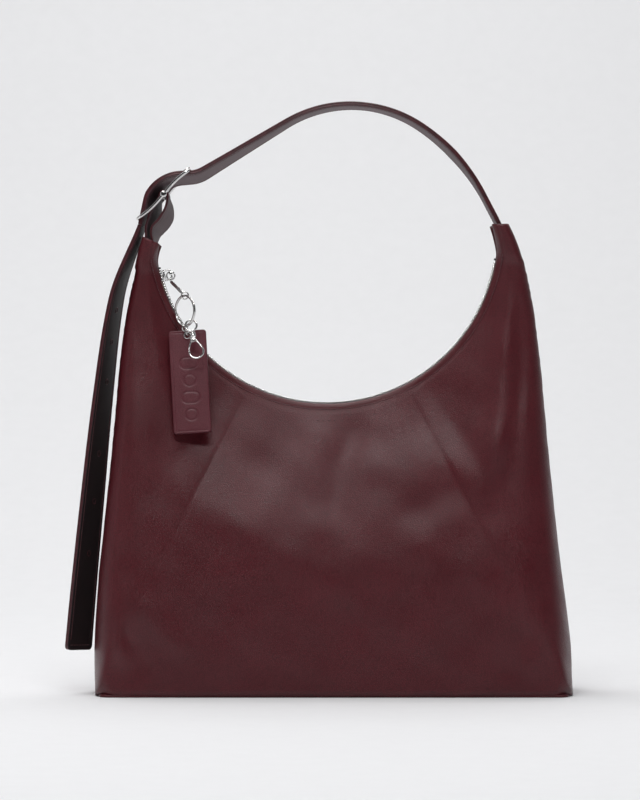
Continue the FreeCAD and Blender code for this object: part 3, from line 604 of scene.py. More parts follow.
def panel_column(angle, side, table):
    """One column of a panel: the turned lip, the panel's face, and its rounded edge.

    side is -1 in front and 1 behind."""
    inner, outer = inner_radius(angle), outer_radius(angle)
    across, down = math.sin(math.radians(angle)), math.cos(math.radians(angle))
    flat = floor_share(angle)
    last_depth = depth_at(angle, 1.0)
    horn = max(0.0, min(1.0, (abs(angle) - 76.0) / 6.0))
    round_out = (1 - flat) * (0.80 * last_depth * (1 - horn) + 5.0 * horn) + flat * 5.5
    round_out = min(round_out, 0.42 * (outer - inner))
    round_deep = (1 - flat) * (last_depth * 0.94 * (1 - horn) + 7.0 * horn) + flat * 5.5
    lip_depth = depth_at(angle, 0.0)
    column = [(inner + 3.0, lip_depth - 2.6), (inner + 1.4, lip_depth - 2.5), (inner + 0.4, lip_depth - 2.0),
              (inner, lip_depth - 1.1), (inner + 0.3, lip_depth - 0.3)]
    length = outer - round_out - inner
    for row in range(PANEL_ROWS + 1):
        share = (row / PANEL_ROWS) ** 1.12
        radius = inner + 1.0 + share * (length - 1.0)
        depth = depth_at(angle, (radius - inner) / (outer - inner))
        x, z = MOUTH.x + radius * across, MOUTH.z - radius * down
        calm = min(1.0, (radius - inner) / 22.0) * min(1.0, (outer - round_out - radius) / 16.0 + 0.1)
        calm *= 1.0 - 0.7 * horn
        seam = 0.55 * math.exp(-((radius - inner - MOUTH_SEAM) / 1.1) ** 2)
        column.append((radius, depth + calm * folds(x, z, table) - seam))
    radius, depth = column[-1]
    for row in range(1, EDGE_ROWS + 1):
        turn = math.pi / 2 * row / EDGE_ROWS
        column.append((radius + round_out * math.sin(turn),
                       depth - min(round_deep, depth) * (1 - math.cos(turn))))
    radius, depth = column[-1]
    for row in range(1, 4):
        column.append((radius, depth * (1 - row / 3.0)))
    points = []
    for radius, depth in column:
        x, z = MOUTH.x + radius * across, max(MOUTH.z - radius * down, 0.35)
        points.append((widened(x, z), side * max(depth, 0.0), z - horn_slant(x, z)))
    return points


def panel_angles():
    """Angles of the columns, closer together at the base's corners."""
    angles = list(np.arange(-88.5, 92.51, 0.9))
    angles += [LEFT_CORNER + shift for shift in (-1.2, -0.6, 0.0, 0.6, 1.2)]
    angles += [RIGHT_CORNER + shift for shift in (-1.2, -0.6, 0.0, 0.6, 1.2)]
    return sorted(set(round(float(angle), 3) for angle in angles))


def panel(name, side, table):
    """One large leather panel, with the thickness of its hide."""
    columns = [panel_column(angle, side, table) for angle in panel_angles()]
    points = [point for column in columns for point in column]
    piece = add_mesh(name, points, grid_faces(columns), [LEATHER, EDGE], "bag")
    tidy = bmesh.new()
    tidy.from_mesh(piece.data)
    bmesh.ops.remove_doubles(tidy, verts=tidy.verts, dist=0.00002)
    bmesh.ops.recalc_face_normals(tidy, faces=tidy.faces)
    outward = sum((face.normal.y * side * face.calc_area() for face in tidy.faces), 0.0)
    if outward < 0:
        bmesh.ops.reverse_faces(tidy, faces=tidy.faces)
    tidy.to_mesh(piece.data)
    tidy.free()
    thick = piece.modifiers.new("hide", "SOLIDIFY")
    thick.thickness = HIDE * MM
    thick.offset = -1.0
    thick.material_offset_rim = 1
    thick.use_quality_normals = True
    apply_modifiers(piece)
    return piece


def base_plate():
    """The base: a flat panel whose edge shows as a fine turned seam."""
    half_x, half_y = 172.0, 45.2
    outline = rounded_outline(half_x, half_y, 7.0)
    levels = [(-1.4, 0.0), (-0.4, 0.0), (0.0, 0.5), (0.15, 1.2), (-0.3, 1.9), (-1.4, 2.2)]
    rings = []
    for grow, height in levels:
        rings.append([(widened(x * (1 + grow / half_x), 0.0), y * (1 + grow / half_y), height)
                      for x, y in outline])
    points, faces = skin(rings)
    return add_mesh("base_leather", points, faces, [LEATHER], "bag")


def lining(name, side, table, node):
    """The cloth lining, just inside one panel and short of the horns."""
    inset = 2.6
    columns = []
    for angle in panel_angles():
        if -74.0 <= angle <= 77.0:
            column = []
            for x, y, z in panel_column(angle, side, table)[13::2]:
                across, up = x - MOUTH.x, z - MOUTH.z
                shrink = 1.0 - inset / max(1.0, math.hypot(across, up))
                depth = side * max(0.0, abs(y) - inset)
                column.append((MOUTH.x + across * shrink, depth, max(MOUTH.z + up * shrink, 3.0)))
            columns.append(column)
    points = [point for column in columns for point in column]
    piece = add_mesh(name, points, grid_faces(columns), [LINING], "bag")
    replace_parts(piece, node)


front = panel("front_leather", -1.0, FRONT_FOLDS)
back = panel("back_leather", 1.0, BACK_FOLDS)
lining("front_cloth", -1.0, FRONT_FOLDS, "lining_front")
lining("back_cloth", 1.0, BACK_FOLDS, "lining_back")
base = base_plate()
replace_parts(front, "front_panel")
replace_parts(back, "back_panel")
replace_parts(base, "base_panel")


def surface_point(angle, from_edge, side, table):
    """A point on a panel, at a distance from the mouth's edge."""
    inner, outer = inner_radius(angle), outer_radius(angle)
    radius = inner + from_edge
    across, down = math.sin(math.radians(angle)), math.cos(math.radians(angle))
    x, z = MOUTH.x + radius * across, MOUTH.z - radius * down
    depth = depth_at(angle, (radius - inner) / (outer - inner))
    calm = min(1.0, from_edge / 22.0)
    depth += calm * folds(x, z, table) - 0.45
    return (x, side * depth, z)


mouth_thread = Pile()
for side, table in ((-1.0, FRONT_FOLDS), (1.0, BACK_FOLDS)):
    line = [surface_point(angle, MOUTH_SEAM, side, table) for angle in np.arange(-81.0, 84.1, 0.5)]
    stitches(mouth_thread, line, lambda share, side=side: Vector((0, side, 0)), 2.4, 0.9, 0.26)
mouth_thread.piece("mouth_stitching", [THREAD], "bag", "leather")

# ----------------------------------------------------------------------- zip

ZIP_START, ZIP_END = -77.4, 80.4
TAPE_RADIUS = MOUTH_R + 0.9


def zip_teeth(name, side, node):
    """Separate metal teeth, the two rows half a pitch apart."""
    pile = Pile()
    pitch = math.degrees(2.0 / MOUTH_R)
    count = int((ZIP_END - ZIP_START) / pitch)
    for number in range(count):
        angle = math.radians(ZIP_START + (number + (0.25 if side < 0 else 0.75)) * pitch)
        out = Vector((math.sin(angle), 0, -math.cos(angle)))
        along = Vector((math.cos(angle), 0, math.sin(angle)))
        middle = Vector(MOUTH) + out * (TAPE_RADIUS - 1.3)
        rings = []
        for depth, half, high in ((-0.75, 0.28, 0.75), (-0.6, 0.42, 1.15), (0.4, 0.42, 1.25), (1.0, 0.5, 1.3),
                                  (2.5, 0.5, 1.3), (2.75, 0.36, 1.0)):
            centre = middle + ACROSS * (side * depth)
            rings.append([centre + along * (half * a) + out * (high * b)
                          for a, b in ((-1, -0.7), (-0.6, -1), (0.6, -1), (1, -0.7), (1, 0.7), (0.6, 1),
                                       (-0.6, 1), (-1, 0.7))])
        pile.add(*skin(rings))
    piece = pile.piece(name, [NICKEL], "bag", "nickel")
    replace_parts(piece, node)


zip_teeth("front_zip_teeth", -1.0, "zip_teeth_front")
zip_teeth("back_zip_teeth", 1.0, "zip_teeth_back")

SLIDER_ANGLE = math.radians(-75.0)
SLIDER_OUT = Vector((math.sin(SLIDER_ANGLE), 0, -math.cos(SLIDER_ANGLE)))
SLIDER_ALONG = Vector((math.cos(SLIDER_ANGLE), 0, math.sin(SLIDER_ANGLE)))
ARCH = MOUTH + SLIDER_OUT * (MOUTH_R - 8.0)


def slab(pile, centre, along, across, up, half_length, half_width, half_height, waist=1.0, soft=0.35):
    """A small cast plate with rounded corners and edges; the waist narrows its far end."""
    rings = []
    for level, shrink in ((-1.0, soft), (-0.72, 0.06), (0.72, 0.06), (1.0, soft)):
        ring = []
        for corner_x, corner_y, first in ((1, 1, 0), (-1, 1, 90), (-1, -1, 180), (1, -1, 270)):
            for step in range(5):
                turn = math.radians(first + 22.5 * step)
                width = half_width * (waist if corner_x > 0 else 1.0)
                radius = min(half_length, width) * 0.55
                x = corner_x * (half_length - radius) + radius * math.cos(turn)
                y = corner_y * (width - radius) + radius * math.sin(turn)
                scale = 1.0 - shrink * 0.5 / max(half_length, half_width)
                ring.append(centre + along * (x * scale) + across * (y * scale) + up * (level * half_height))
        rings.append(ring)
    pile.add(*skin(rings))


def arc_path(centre, radius, first, last, u, v, steps=24):
    """Points of an arc in the plane of two unit vectors, angles in degrees."""
    return [centre + u * (radius * math.cos(math.radians(first + (last - first) * step / steps)))
            + v * (radius * math.sin(math.radians(first + (last - first) * step / steps)))
            for step in range(steps + 1)]


def slider():
    """The zip's slider: two plates, a bridge and the post that carries the jump ring."""
    pile = Pile()
    plates = ((TAPE_RADIUS - 2.7 - 0.5 - 0.65, 3.8), (TAPE_RADIUS + 0.7 + 0.5 + 0.65, 3.3))
    for radius, half_width in plates:
        centre = MOUTH + SLIDER_OUT * radius
        slab(pile, centre, SLIDER_ALONG, ACROSS, SLIDER_OUT, 4.4, half_width, 0.65, 0.78)
    blade = MOUTH + SLIDER_OUT * MOUTH_R
    slab(pile, blade, SLIDER_ALONG, ACROSS, SLIDER_OUT, 1.5, 0.55, 2.6, 1.0, 0.05)
    foot = MOUTH + SLIDER_OUT * (TAPE_RADIUS - 3.85)
    bridge = [foot - SLIDER_ALONG * 3.7, foot - SLIDER_ALONG * 3.6 - SLIDER_OUT * 1.6]
    bridge += arc_path(ARCH + SLIDER_OUT * 1.6, 1.6, 180, 90, SLIDER_ALONG, -SLIDER_OUT, 6)[1:]
    bridge = [point - SLIDER_ALONG * 2.0 if index > 1 else point for index, point in enumerate(bridge)]
    bridge += arc_path(ARCH + SLIDER_OUT * 1.6 + SLIDER_ALONG * 2.0, 1.6, 90, 0, SLIDER_ALONG, -SLIDER_OUT, 6)
    bridge += [foot + SLIDER_ALONG * 3.7]
    pile.tube(bridge, 0.62, 10)
    pile.tube([ARCH, ARCH - ACROSS * 7.7], 0.66, 14)
    head = [(7.5, 0.7), (7.7, 1.2), (8.0, 1.42), (8.35, 1.42), (8.6, 1.1), (8.7, 0.4)]
    pile.add(*skin([circle(ARCH - ACROSS * depth, radius, RIGHT, UP, 18) for depth, radius in head]))
    piece = pile.piece("cast_slider", [NICKEL], "slider", "nickel")
    crease_by_angle(piece, 40)
    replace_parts(piece, "zip_slider")


slider()


def stamp():
    """A short row of plain dots pressed under the middle of the mouth."""
    pile = Pile()
    for number in range(4):
        angle = -2.6 + 1.7 * number
        point = Vector(surface_point(angle, 12.5, -1.0, FRONT_FOLDS)) + ACROSS * -0.35
        pile.capsule(point - RIGHT * 0.6, point + RIGHT * 0.6, 0.32, 10)
    pile.piece("stamped_dots", [EDGE], "bag", "leather")


stamp()

# ------------------------------------------------- pull, ring, clasp and tag

JUMP_RADIUS = 3.0
JUMP = ARCH + Vector((0, -6.5, 1.45 - JUMP_RADIUS))
PULL_TOP = JUMP - Vector((0, 0, JUMP_RADIUS))
RING_TURN = math.radians(50.0)
RING_SIDE = Vector((math.cos(RING_TURN), -math.sin(RING_TURN), 0))
EYE = RING + UP * RING_RADIUS
TOP_EYE_RADIUS, LOW_EYE_RADIUS = 1.75, 2.6


def on_ring(angle):
    """A point on the key ring's wire; 0 is its lowest, positive is right."""
    turn = math.radians(angle)
    return RING + RING_SIDE * (RING_RADIUS * math.sin(turn)) - UP * (RING_RADIUS * math.cos(turn))


def pull():
    """Jump ring with its join, and the flat bar with an eye at each end."""
    pile = Pile()
    pile.tube(arc_path(JUMP, JUMP_RADIUS, 34, 390, RIGHT, UP, 60), 0.58, 12)
    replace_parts(pile.piece("jump_ring", [NICKEL], "link", "nickel"), "slider_ring")
    way = EYE - PULL_TOP
    flat = (way - RIGHT * way.dot(RIGHT)).normalized()
    start = PULL_TOP + flat * TOP_EYE_RADIUS
    flat = (way - ACROSS * way.dot(ACROSS)).normalized()
    end = EYE - flat * LOW_EYE_RADIUS
    pile = Pile()
    pile.tube(arc_path(PULL_TOP, TOP_EYE_RADIUS, 0, 352, ACROSS, UP, 36)[:-1], 0.56, 10, closed=True)
    pile.tube(arc_path(EYE, LOW_EYE_RADIUS, 0, 352, RIGHT, UP, 40)[:-1], 0.58, 10, closed=True)
    along = (end - start).normalized()
    side = along.cross(ACROSS).normalized()
    thick = along.cross(side)
    rings = []
    sections = ((0.0, 0.7, 0.5), (0.06, 1.15, 0.6), (0.2, 1.35, 0.62), (0.5, 1.2, 0.62),
                (0.8, 1.35, 0.62), (0.94, 1.15, 0.6), (1.0, 0.7, 0.5))
    for share, width, depth in sections:
        centre = start.lerp(end, share)
        rings.append([centre + side * (width * squared(math.cos(turn), 0.55))
                      + thick * (depth * squared(math.sin(turn), 0.7)) for turn in turns(16)])
    pile.add(*skin(rings))
    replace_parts(pile.piece("pull_bar", [NICKEL], "pull", "nickel"), "puller_bar")


def key_ring():
    """A split ring: two turns of flat-sided wire, lying side by side."""
    normal = RING_SIDE.cross(UP)
    laps, steps = 1.96, 220
    path = []
    for step in range(steps + 1):
        share = step / steps
        angle = math.radians(200.0 + 360.0 * laps * share)
        shift = -0.42 + 0.84 * min(1.0, max(0.0, (share - 0.44) / 0.12))
        path.append(RING + RING_SIDE * (RING_RADIUS * math.cos(angle))
                    + UP * (RING_RADIUS * math.sin(angle)) + normal * shift)
    pile = Pile()
    rings = []
    for index, point in enumerate(path):
        out = (point - RING - normal * (point - RING).dot(normal)).normalized()
        taper = 0.55 if index in (0, len(path) - 1) else 1.0
        rings.append([point + out * (0.80 * taper * squared(math.cos(turn), 0.8))
                      + normal * (0.43 * squared(math.sin(turn), 0.7)) for turn in turns(12)])
    pile.add(*skin(rings))
    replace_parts(pile.piece("split_ring", [NICKEL], "ring", "nickel"), "key_ring")


def tag_links():
    """Two fine jump rings between the key ring and the tag."""
    carried = on_ring(-4.0)
    way = (TAG_HOLE - carried).normalized()
    pile = Pile()
    for distance, normal in ((1.35, RING_SIDE), (5.2, way.cross(ACROSS).normalized())):
        centre = carried + way * distance
        side = normal.cross(way).normalized()
        pile.tube(arc_path(centre, 2.45, 10, 366, way, side, 40), 0.46, 10)
    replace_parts(pile.piece("tag_links", [NICKEL], "tag", "nickel"), "tag_ring")


TAG_FRAME = (Matrix.Translation(TAG_HOLE) @ Matrix.Rotation(-TAG_TILT, 4, "Y")
             @ Matrix.Rotation(-TAG_LEAN, 4, "X"))
TAG_HALF, TAG_TOP, TAG_LOW = 14.0, 4.0, -74.0


def stadium_distance(x, z, cx, cz, half_length, half_height):
    """Signed distance to a bar with round ends."""
    dx = max(0.0, abs(x - cx) - (half_length - half_height))
    return math.hypot(dx, z - cz) - half_height


def tag_relief(x, z):
    """Outlined round-ended bars pressed into the tag's face, and its edge crease."""
    height = 0.0
    for number, half_length in enumerate((6.6, 4.4, 6.6, 4.4)):
        distance = stadium_distance(x, z, 0.0, -21.0 - 13.0 * number, half_length, 4.2)
        height += 0.10 / (1 + math.exp(distance * 4.0)) - 0.42 * math.exp(-(distance / 0.62) ** 2)
    edge = min(TAG_HALF - abs(x), TAG_TOP - z, z - TAG_LOW)
    height -= 0.22 * math.exp(-((edge - 1.7) / 0.45) ** 2)
    return height


def tag():
    """The hang tag: two glued leathers, with a pressed face and painted edges."""
    step = 0.45
    columns = int(round(2 * TAG_HALF / step))
    rows = int(round((TAG_TOP - TAG_LOW) / step))
    corner = 2.4
    points, faces, indices = [], [], []
    place = {}
    for face_side in (-1, 1):
        for i in range(columns + 1):
            for j in range(rows + 1):
                x = -TAG_HALF + 2 * TAG_HALF * i / columns
                z = TAG_LOW + (TAG_TOP - TAG_LOW) * j / rows
                cx = max(abs(x) - (TAG_HALF - corner), 0.0)
                middle = (TAG_TOP + TAG_LOW) / 2
                half = (TAG_TOP - TAG_LOW) / 2
                cz = max(abs(z - middle) - (half - corner), 0.0)
                if cx > 0 and cz > 0:
                    reach = max(cx, cz)
                    scale = reach / math.hypot(cx, cz)
                    x = math.copysign(TAG_HALF - corner + cx * scale, x)
                    z = middle + math.copysign(half - corner + cz * scale, z - middle)
                edge = min(TAG_HALF - abs(x), half - abs(z - middle))
                if cx > 0 and cz > 0:
                    edge = corner - math.hypot(abs(x) - (TAG_HALF - corner),
                                               abs(z - middle) - (half - corner))
                drop = 0.75 * (1 - math.sqrt(max(0.0, 1 - max(0.0, 1 - edge / 0.9) ** 2)))
                relief = tag_relief(x, z) if face_side < 0 else 0.0
                place[(face_side, i, j)] = len(points)
                points.append((x, face_side * (1.6 - drop + relief), z))
    hole_cells = set()
    for i in range(columns):
        for j in range(rows):
            x = -TAG_HALF + 2 * TAG_HALF * (i + 0.5) / columns
            z = TAG_LOW + (TAG_TOP - TAG_LOW) * (j + 0.5) / rows
            if math.hypot(x, z) < 1.7:
                hole_cells.add((i, j))
    for face_side in (-1, 1):
        for i in range(columns):
            for j in range(rows):
                if (i, j) in hole_cells:
                    continue
                faces.append((place[(face_side, i, j)], place[(face_side, i + 1, j)],
                              place[(face_side, i + 1, j + 1)], place[(face_side, i, j + 1)]))
                indices.append(0)

    def rim_face(first, second):
        """A face across the tag's thickness."""
        faces.append((place[(-1, *first)], place[(-1, *second)], place[(1, *second)], place[(1, *first)]))
        indices.append(1)

    for i in range(columns):
        for j in (0, rows):
            rim_face((i, j), (i + 1, j))
    for j in range(rows):
        for i in (0, columns):
            rim_face((i, j), (i, j + 1))
    for i, j in hole_cells:
        low_left, low_right, top_left, top_right = (i, j), (i + 1, j), (i, j + 1), (i + 1, j + 1)
        sides = (((i - 1, j), low_left, top_left), ((i + 1, j), low_right, top_right),
                 ((i, j - 1), low_left, low_right), ((i, j + 1), top_left, top_right))
        for neighbour, first, second in sides:
            if neighbour not in hole_cells:
                rim_face(first, second)
    points = [TAG_FRAME @ Vector(point) for point in points]
    piece = add_mesh("hang_tag", points, faces, [TAG_LEATHER, EDGE], "tag", indices)
    crease_by_angle(piece, 55)
    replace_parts(piece, "tag")
    pile = Pile()
    for depth in (-1.75, 1.75):
        rim = circle(Vector((0, depth, 0)), 2.35, RIGHT, UP, 32)
        pile.tube([TAG_FRAME @ point for point in rim], 0.42, 10, closed=True)
    pile.piece("tag_eyelet", [NICKEL], "tag", "nickel")


CLASP = on_ring(38.0) + Vector((0.3, -0.3, -2.1))
CLASP_FRAME = (Matrix.Translation(CLASP) @ Matrix.Rotation(math.radians(-11.0), 4, "Y")
               @ Matrix.Rotation(math.radians(-15.0), 4, "X"))


def lathe(pile, profile, frame_matrix, sides=28):
    """Turns a profile of (height, radius) about a frame's Z axis."""
    rings = [[frame_matrix @ point for point in circle(UP * height, radius, RIGHT, ACROSS, sides)]
             for height, radius in profile]
    pile.add(*skin(rings))


def clasp():
    """The swivel clasp: loop, turned barrel, teardrop hook and its lever."""
    place = CLASP_FRAME
    pile = Pile()
    loop = circle(Vector(), 4.2, RIGHT, UP, 48)
    pile.tube([place @ point for point in loop], 0.78, 12, closed=True)
    lathe(pile, [(-3.9, 0.9), (-4.4, 1.25), (-5.0, 1.25), (-5.2, 0.78), (-8.3, 0.78)], place, 20)
    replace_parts(pile.piece("swivel_loop", [NICKEL], "clasp", "nickel"), "clasp_loop")
    pile = Pile()
    lathe(pile, [(-5.4, 1.0), (-5.45, 1.9), (-5.8, 2.25), (-6.6, 2.35), (-7.0, 2.1), (-7.3, 2.1),
                 (-7.7, 2.4), (-8.7, 2.35), (-9.2, 2.0), (-9.5, 1.2)], place)
    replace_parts(pile.piece("turned_barrel", [NICKEL], "hook", "nickel"), "clasp_barrel")
    pile = Pile()
    middle = Vector((0.4, 0, -20.3))
    path = [Vector((0.6, 0, -9.4)), Vector((1.3, 0, -11.0)), Vector((2.6, 0, -13.4)), Vector((4.2, 0, -16.2)),
            Vector((5.3, 0, -18.6))]
    path += arc_path(middle, 5.25, 6, -196, RIGHT, UP, 30)
    rings = []
    for index, point in enumerate(path):
        ahead = path[min(index + 1, len(path) - 1)] - path[max(index - 1, 0)]
        out = ahead.normalized().cross(ACROSS)
        wide = 0.95 if index < 4 else 0.82
        rings.append([place @ (point + out * (0.72 * math.cos(turn)) + ACROSS * (wide * math.sin(turn)))
                      for turn in turns(14)])
    pile.add(*skin(rings))
    right, across, up = [place.to_3x3() @ way for way in (RIGHT, ACROSS, UP)]
    for shift in (-1.25, 1.25):
        slab(pile, place @ Vector((-0.5, shift, -11.0)), right, up, across, 2.1, 1.5, 0.35)
    slab(pile, place @ Vector((0.0, 0, -9.7)), right, across, up, 1.9, 1.7, 0.4)
    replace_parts(pile.piece("teardrop_hook", [NICKEL], "hook", "nickel"), "clasp_hook")
    pile = Pile()
    pivot, end = Vector((-1.5, 0, -11.2)), Vector((-4.85, 0, -18.3))
    lever = [pivot, pivot.lerp(end, 0.15) + Vector((-0.25, 0, 0.1)),
             pivot.lerp(end, 0.6) + Vector((-0.35, 0, 0.1)), end]
    pile.tube([place @ point for point in lever], 0.62, 12)
    for depth in (-0.5, 0.0, 0.5):
        near, far = [place @ (pivot + Vector((0, depth + half, 0))) for half in (-0.3, 0.3)]
        pile.capsule(near, far, 0.95, 14)
    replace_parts(pile.piece("gate_lever", [NICKEL], "gate", "nickel"), "clasp_gate")
    pile = Pile()
    pile.capsule(place @ (pivot + Vector((0, -1.75, 0))), place @ (pivot + Vector((0, 1.75, 0))), 0.55, 12)
    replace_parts(pile.piece("gate_pin", [NICKEL], "hook", "nickel"), "clasp_gate_pin")


pull()
key_ring()
tag_links()
tag()
clasp()

# ----------------------------------------------------------- strap and buckle

STRAP_HEADING = 117.6
HIDDEN = 12.0
UNDER = math.radians(STRAP_HEADING)
STRAP_START = (125.7 - HIDDEN * math.cos(UNDER), FLEX_Z - HIDDEN * math.sin(UNDER))
STRAP_ROUTE = walk(STRAP_START, STRAP_HEADING,
                   [("run", 22.0 + HIDDEN), ("bend", 147.0, 28.6), ("bend", 93.5, 65.0), ("run", 71.5),
                    ("bend", 25.0, -28.0), ("run", 6.0), ("bend", 27.0, 68.0), ("run", 18.5)])

# How far the strap is rolled, in degrees, at distances along it.
ROLL = ((0.0, 0.0), (36.0, 0.0), (75.0, 4.0), (150.0, 1.0), (210.0, 3.5), (262.0, 8.0), (300.0, 12.0),
        (330.0, 15.0), (354.0, 3.0))


def strap_profile(half, layer):
    """Cross-section (across, out) and the material of the face after each point."""
    top = [(-half + 0.35, layer - 0.03, 0), (-half + 1.5, layer + 0.02, 0), (-half + 2.3, layer - 0.04, 0),
           (-half + 2.75, layer - 0.24, 0), (-half + 3.2, layer - 0.04, 0), (-half + 4.2, layer + 0.05, 0),
           (-half / 2, layer + 0.12, 0), (0.0, layer + 0.16, 0)]
    top += [(-across, out, 0) for across, out, _ in top[-2::-1]]
    edge = [(half - 0.06, layer - 0.3, 1), (half + 0.02, layer * 0.55, 1), (half - 0.02, 0.22, 1),
            (half - 0.22, 0.0, 1), (half - 0.02, -0.22, 1), (half + 0.02, -layer * 0.55, 1),
            (half - 0.06, 0.3 - layer, 1)]
    low = [(across, -out, 2) for across, out, _ in top[::-1]]
    far = [(-across, -out, 1) for across, out, _ in edge]
    return top + edge + low + far


def strip(name, body, stations, materials, layer=LAYER, end_round=0.0, tongue=0.0):
    """A two-layer strap along stations of (point, side, out).

    Its near end may be a round tongue, and its far end may have round corners."""
    half = WIDE / 2
    profile = strap_profile(half, layer)
    rings, total = [], len(stations)
    lengths = [0.0]
    for first, second in zip(stations, stations[1:]):
        lengths.append(lengths[-1] + (second[0] - first[0]).length)
    for index in range(total):
        point, side, out = stations[index]
        left = lengths[-1] - lengths[index]
        narrow = 1.0
        if lengths[index] < tongue:
            narrow = math.sqrt(max(4.0, 14.2 ** 2 - (tongue - lengths[index]) ** 2)) / half
        if end_round and left < end_round:
            narrow = 1.0 - end_round / half * (1 - math.sqrt(max(0.0, 1 - (1 - left / end_round) ** 2)))
        rings.append([point + side * (across * narrow) + out * high for across, high, _ in profile])
    points, faces = skin(rings)
    indices = [entry[2] for entry in profile] * (total - 1) + [1, 1]
    piece = add_mesh(name, points, faces, materials, body, indices)
    crease_by_angle(piece, 50)
    return piece


def strap_stations():
    """Stations of the arch, rolled a little so that its inner face shows."""
    stations = []
    for x, z, heading, distance in STRAP_ROUTE:
        turn = math.radians(heading)
        out = Vector((math.sin(turn), 0, -math.cos(turn)))
        roll = math.radians(float(np.interp(distance, *zip(*ROLL))))
        side = ACROSS * math.cos(roll) - out * math.sin(roll)
        rolled = out * math.cos(roll) + ACROSS * math.sin(roll)
        stations.append((Vector((x, 0, z)), side, rolled))
    return stations


STITCH_LINE, STITCH_LEVEL = WIDE / 2 - 2.75, LAYER - 0.24
STRAP_STITCH = (2.5, 0.8, 0.27, 0.02)  # length, gap, radius, sink


def sew(pile, run):
    """Stitch lines along both edges of a strip, on both its faces."""
    for face_side in (1, -1):
        for edge in (-1, 1):
            path = [point + side * (edge * STITCH_LINE) + out * (face_side * STITCH_LEVEL)
                    for point, side, out in run]
            outs = [out * face_side for _, _, out in run]
            stitches(pile, path, lambda share, outs=outs: outs[min(int(share * len(outs)), len(outs) - 1)],
                     *STRAP_STITCH)


arch = strap_stations()
strap = strip("strap", "strap", arch, [STRAP_LEATHER, EDGE, BACKING], tongue=HIDDEN)
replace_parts(strap, "strap_outer", "strap_lining")
pile = Pile()
sew(pile, arch[10:])
pile.piece("strap_stitching", [THREAD], "strap", "leather")

TAIL_SECTIONS = [(349.2, -142.8, -3.0), (296.0, -161.4, -14.0), (222.0, -171.6, -22.0),
                 (147.0, -179.4, -28.0), (73.0, -186.6, -32.0), (32.0, -190.2, -34.0)]


def tail_stations():
    """Stations of the hanging end, which turns as it falls."""
    heights = [row[0] for row in TAIL_SECTIONS][::-1]
    middles = [row[1] for row in TAIL_SECTIONS][::-1]
    twists = [row[2] for row in TAIL_SECTIONS][::-1]
    stations = []
    top, low = heights[-1] + 1.6, heights[0]
    levels = list(np.arange(top, low + 3.0, -3.0)) + list(np.arange(low + 3.0, low - 0.01, -0.25))
    for z in levels:
        if z > heights[-1]:
            x = middles[-1] + (z - heights[-1]) * 0.35
            turn = math.radians(twists[-1])
        else:
            x = curve_through(heights, middles, z)
            turn = math.radians(curve_through(heights, twists, z))
        above = curve_through(heights, middles, min(z + 2.0, heights[-1]))
        below = curve_through(heights, middles, max(z - 2.0, low))
        rise = min(z + 2.0, heights[-1]) - max(z - 2.0, low)
        slope = (above - below) / max(1.0, rise) if z < heights[-1] else 0.35
        down = Vector((-slope, 0, -1)).normalized()
        side = Vector((-math.sin(turn), math.cos(turn), 0))
        side = (side - down * side.dot(down)).normalized()
        out = side.cross(down).normalized()
        if out.x > 0:
            out = -out
        stations.append((Vector((x, 0, z)), side, out))
    return stations


fall = tail_stations()
# The tail's inner face takes the near-black backing, which is painted shade.
tail = strip("strap_tail", "tail", fall, [STRAP_LEATHER, EDGE, TAIL_BACKING_PAINTED_SHADE], end_round=3.6)
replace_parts(tail, "tail_outer", "tail_lining")
pile = Pile()
sew(pile, fall[1:-14])
cross_path = []
point, side, out = fall[-14]
for share in np.linspace(-1, 1, 12):
    cross_path.append(point + side * (share * STITCH_LINE) - out * STITCH_LEVEL)
stitches(pile, cross_path, lambda share: -out, *STRAP_STITCH)
pile.piece("tail_stitching", [THREAD], "tail", "leather")
HOLE_HEIGHTS = (289.0, 265.0, 235.0, 181.0, 143.0, 106.0)
holes = Pile()
for height in HOLE_HEIGHTS:
    point, side, out = min(fall, key=lambda station: abs(station[0].z - height))
    along = side.cross(out)
    for face_side in (1, -1):
        centre = point + out * (face_side * (LAYER + 0.10))
        holes.tube(circle(centre, 2.1, side, along, 24), 0.32, 8, closed=True)
        rings = [circle(centre + out * (face_side * level), radius, side, along, 20)
                 for radius, level in ((2.0, 0.02), (1.2, -0.04), (0.25, -0.06))]
        holes.add(*skin(rings))
holes.piece("tail_holes", [EDGE], "tail", "leather")

LOOP_START = (-136.9, 338.5)
LOOP_HUG = 1.8


def loop_stations():
    """The strip folded round the buckle's centre bar."""
    across, up = BAR[0] - LOOP_START[0], BAR[1] - LOOP_START[1]
    distance = math.hypot(across, up)
    heading = math.degrees(math.atan2(up, across) + math.asin(LOOP_HUG / distance))
    steps = [("run", math.sqrt(distance ** 2 - LOOP_HUG ** 2)), ("bend", LOOP_HUG, -158.0), ("run", 6.0),
             ("bend", 20.0, -55.0), ("bend", 12.0, 44.0), ("run", 6.0)]
    stations = []
    for x, z, heading, _ in walk(LOOP_START, heading, steps, 0.9):
        turn = math.radians(heading)
        left = Vector((-math.sin(turn), 0, math.cos(turn)))
        roll = math.radians(15.0) * min(1.0, max(0.0, (BAR[1] - 2.0 - z) / 14.0))
        roll *= min(1.0, max(0.25, (z - 336.0) / 12.0))
        sign = 1.0 if left.x > 0 else -1.0
        side = ACROSS * math.cos(roll) + left * (sign * math.sin(roll))
        rolled = left * math.cos(roll) - ACROSS * (sign * math.sin(roll))
        stations.append((Vector((x, 0, z)) + left * 0.9, side, rolled))
    return stations


folded = loop_stations()
loop = strip("buckle_strip", "strap", folded, [BACKING, EDGE, BACKING], layer=0.9)
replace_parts(loop, "buckle_loop")

BUCKLE_FRAME = Matrix.Translation((BAR[0], 0, BAR[1])) @ Matrix.Rotation(-BUCKLE_TILT, 4, "Y")
REACH = 26.5
HALF_BUCKLE = 18.35


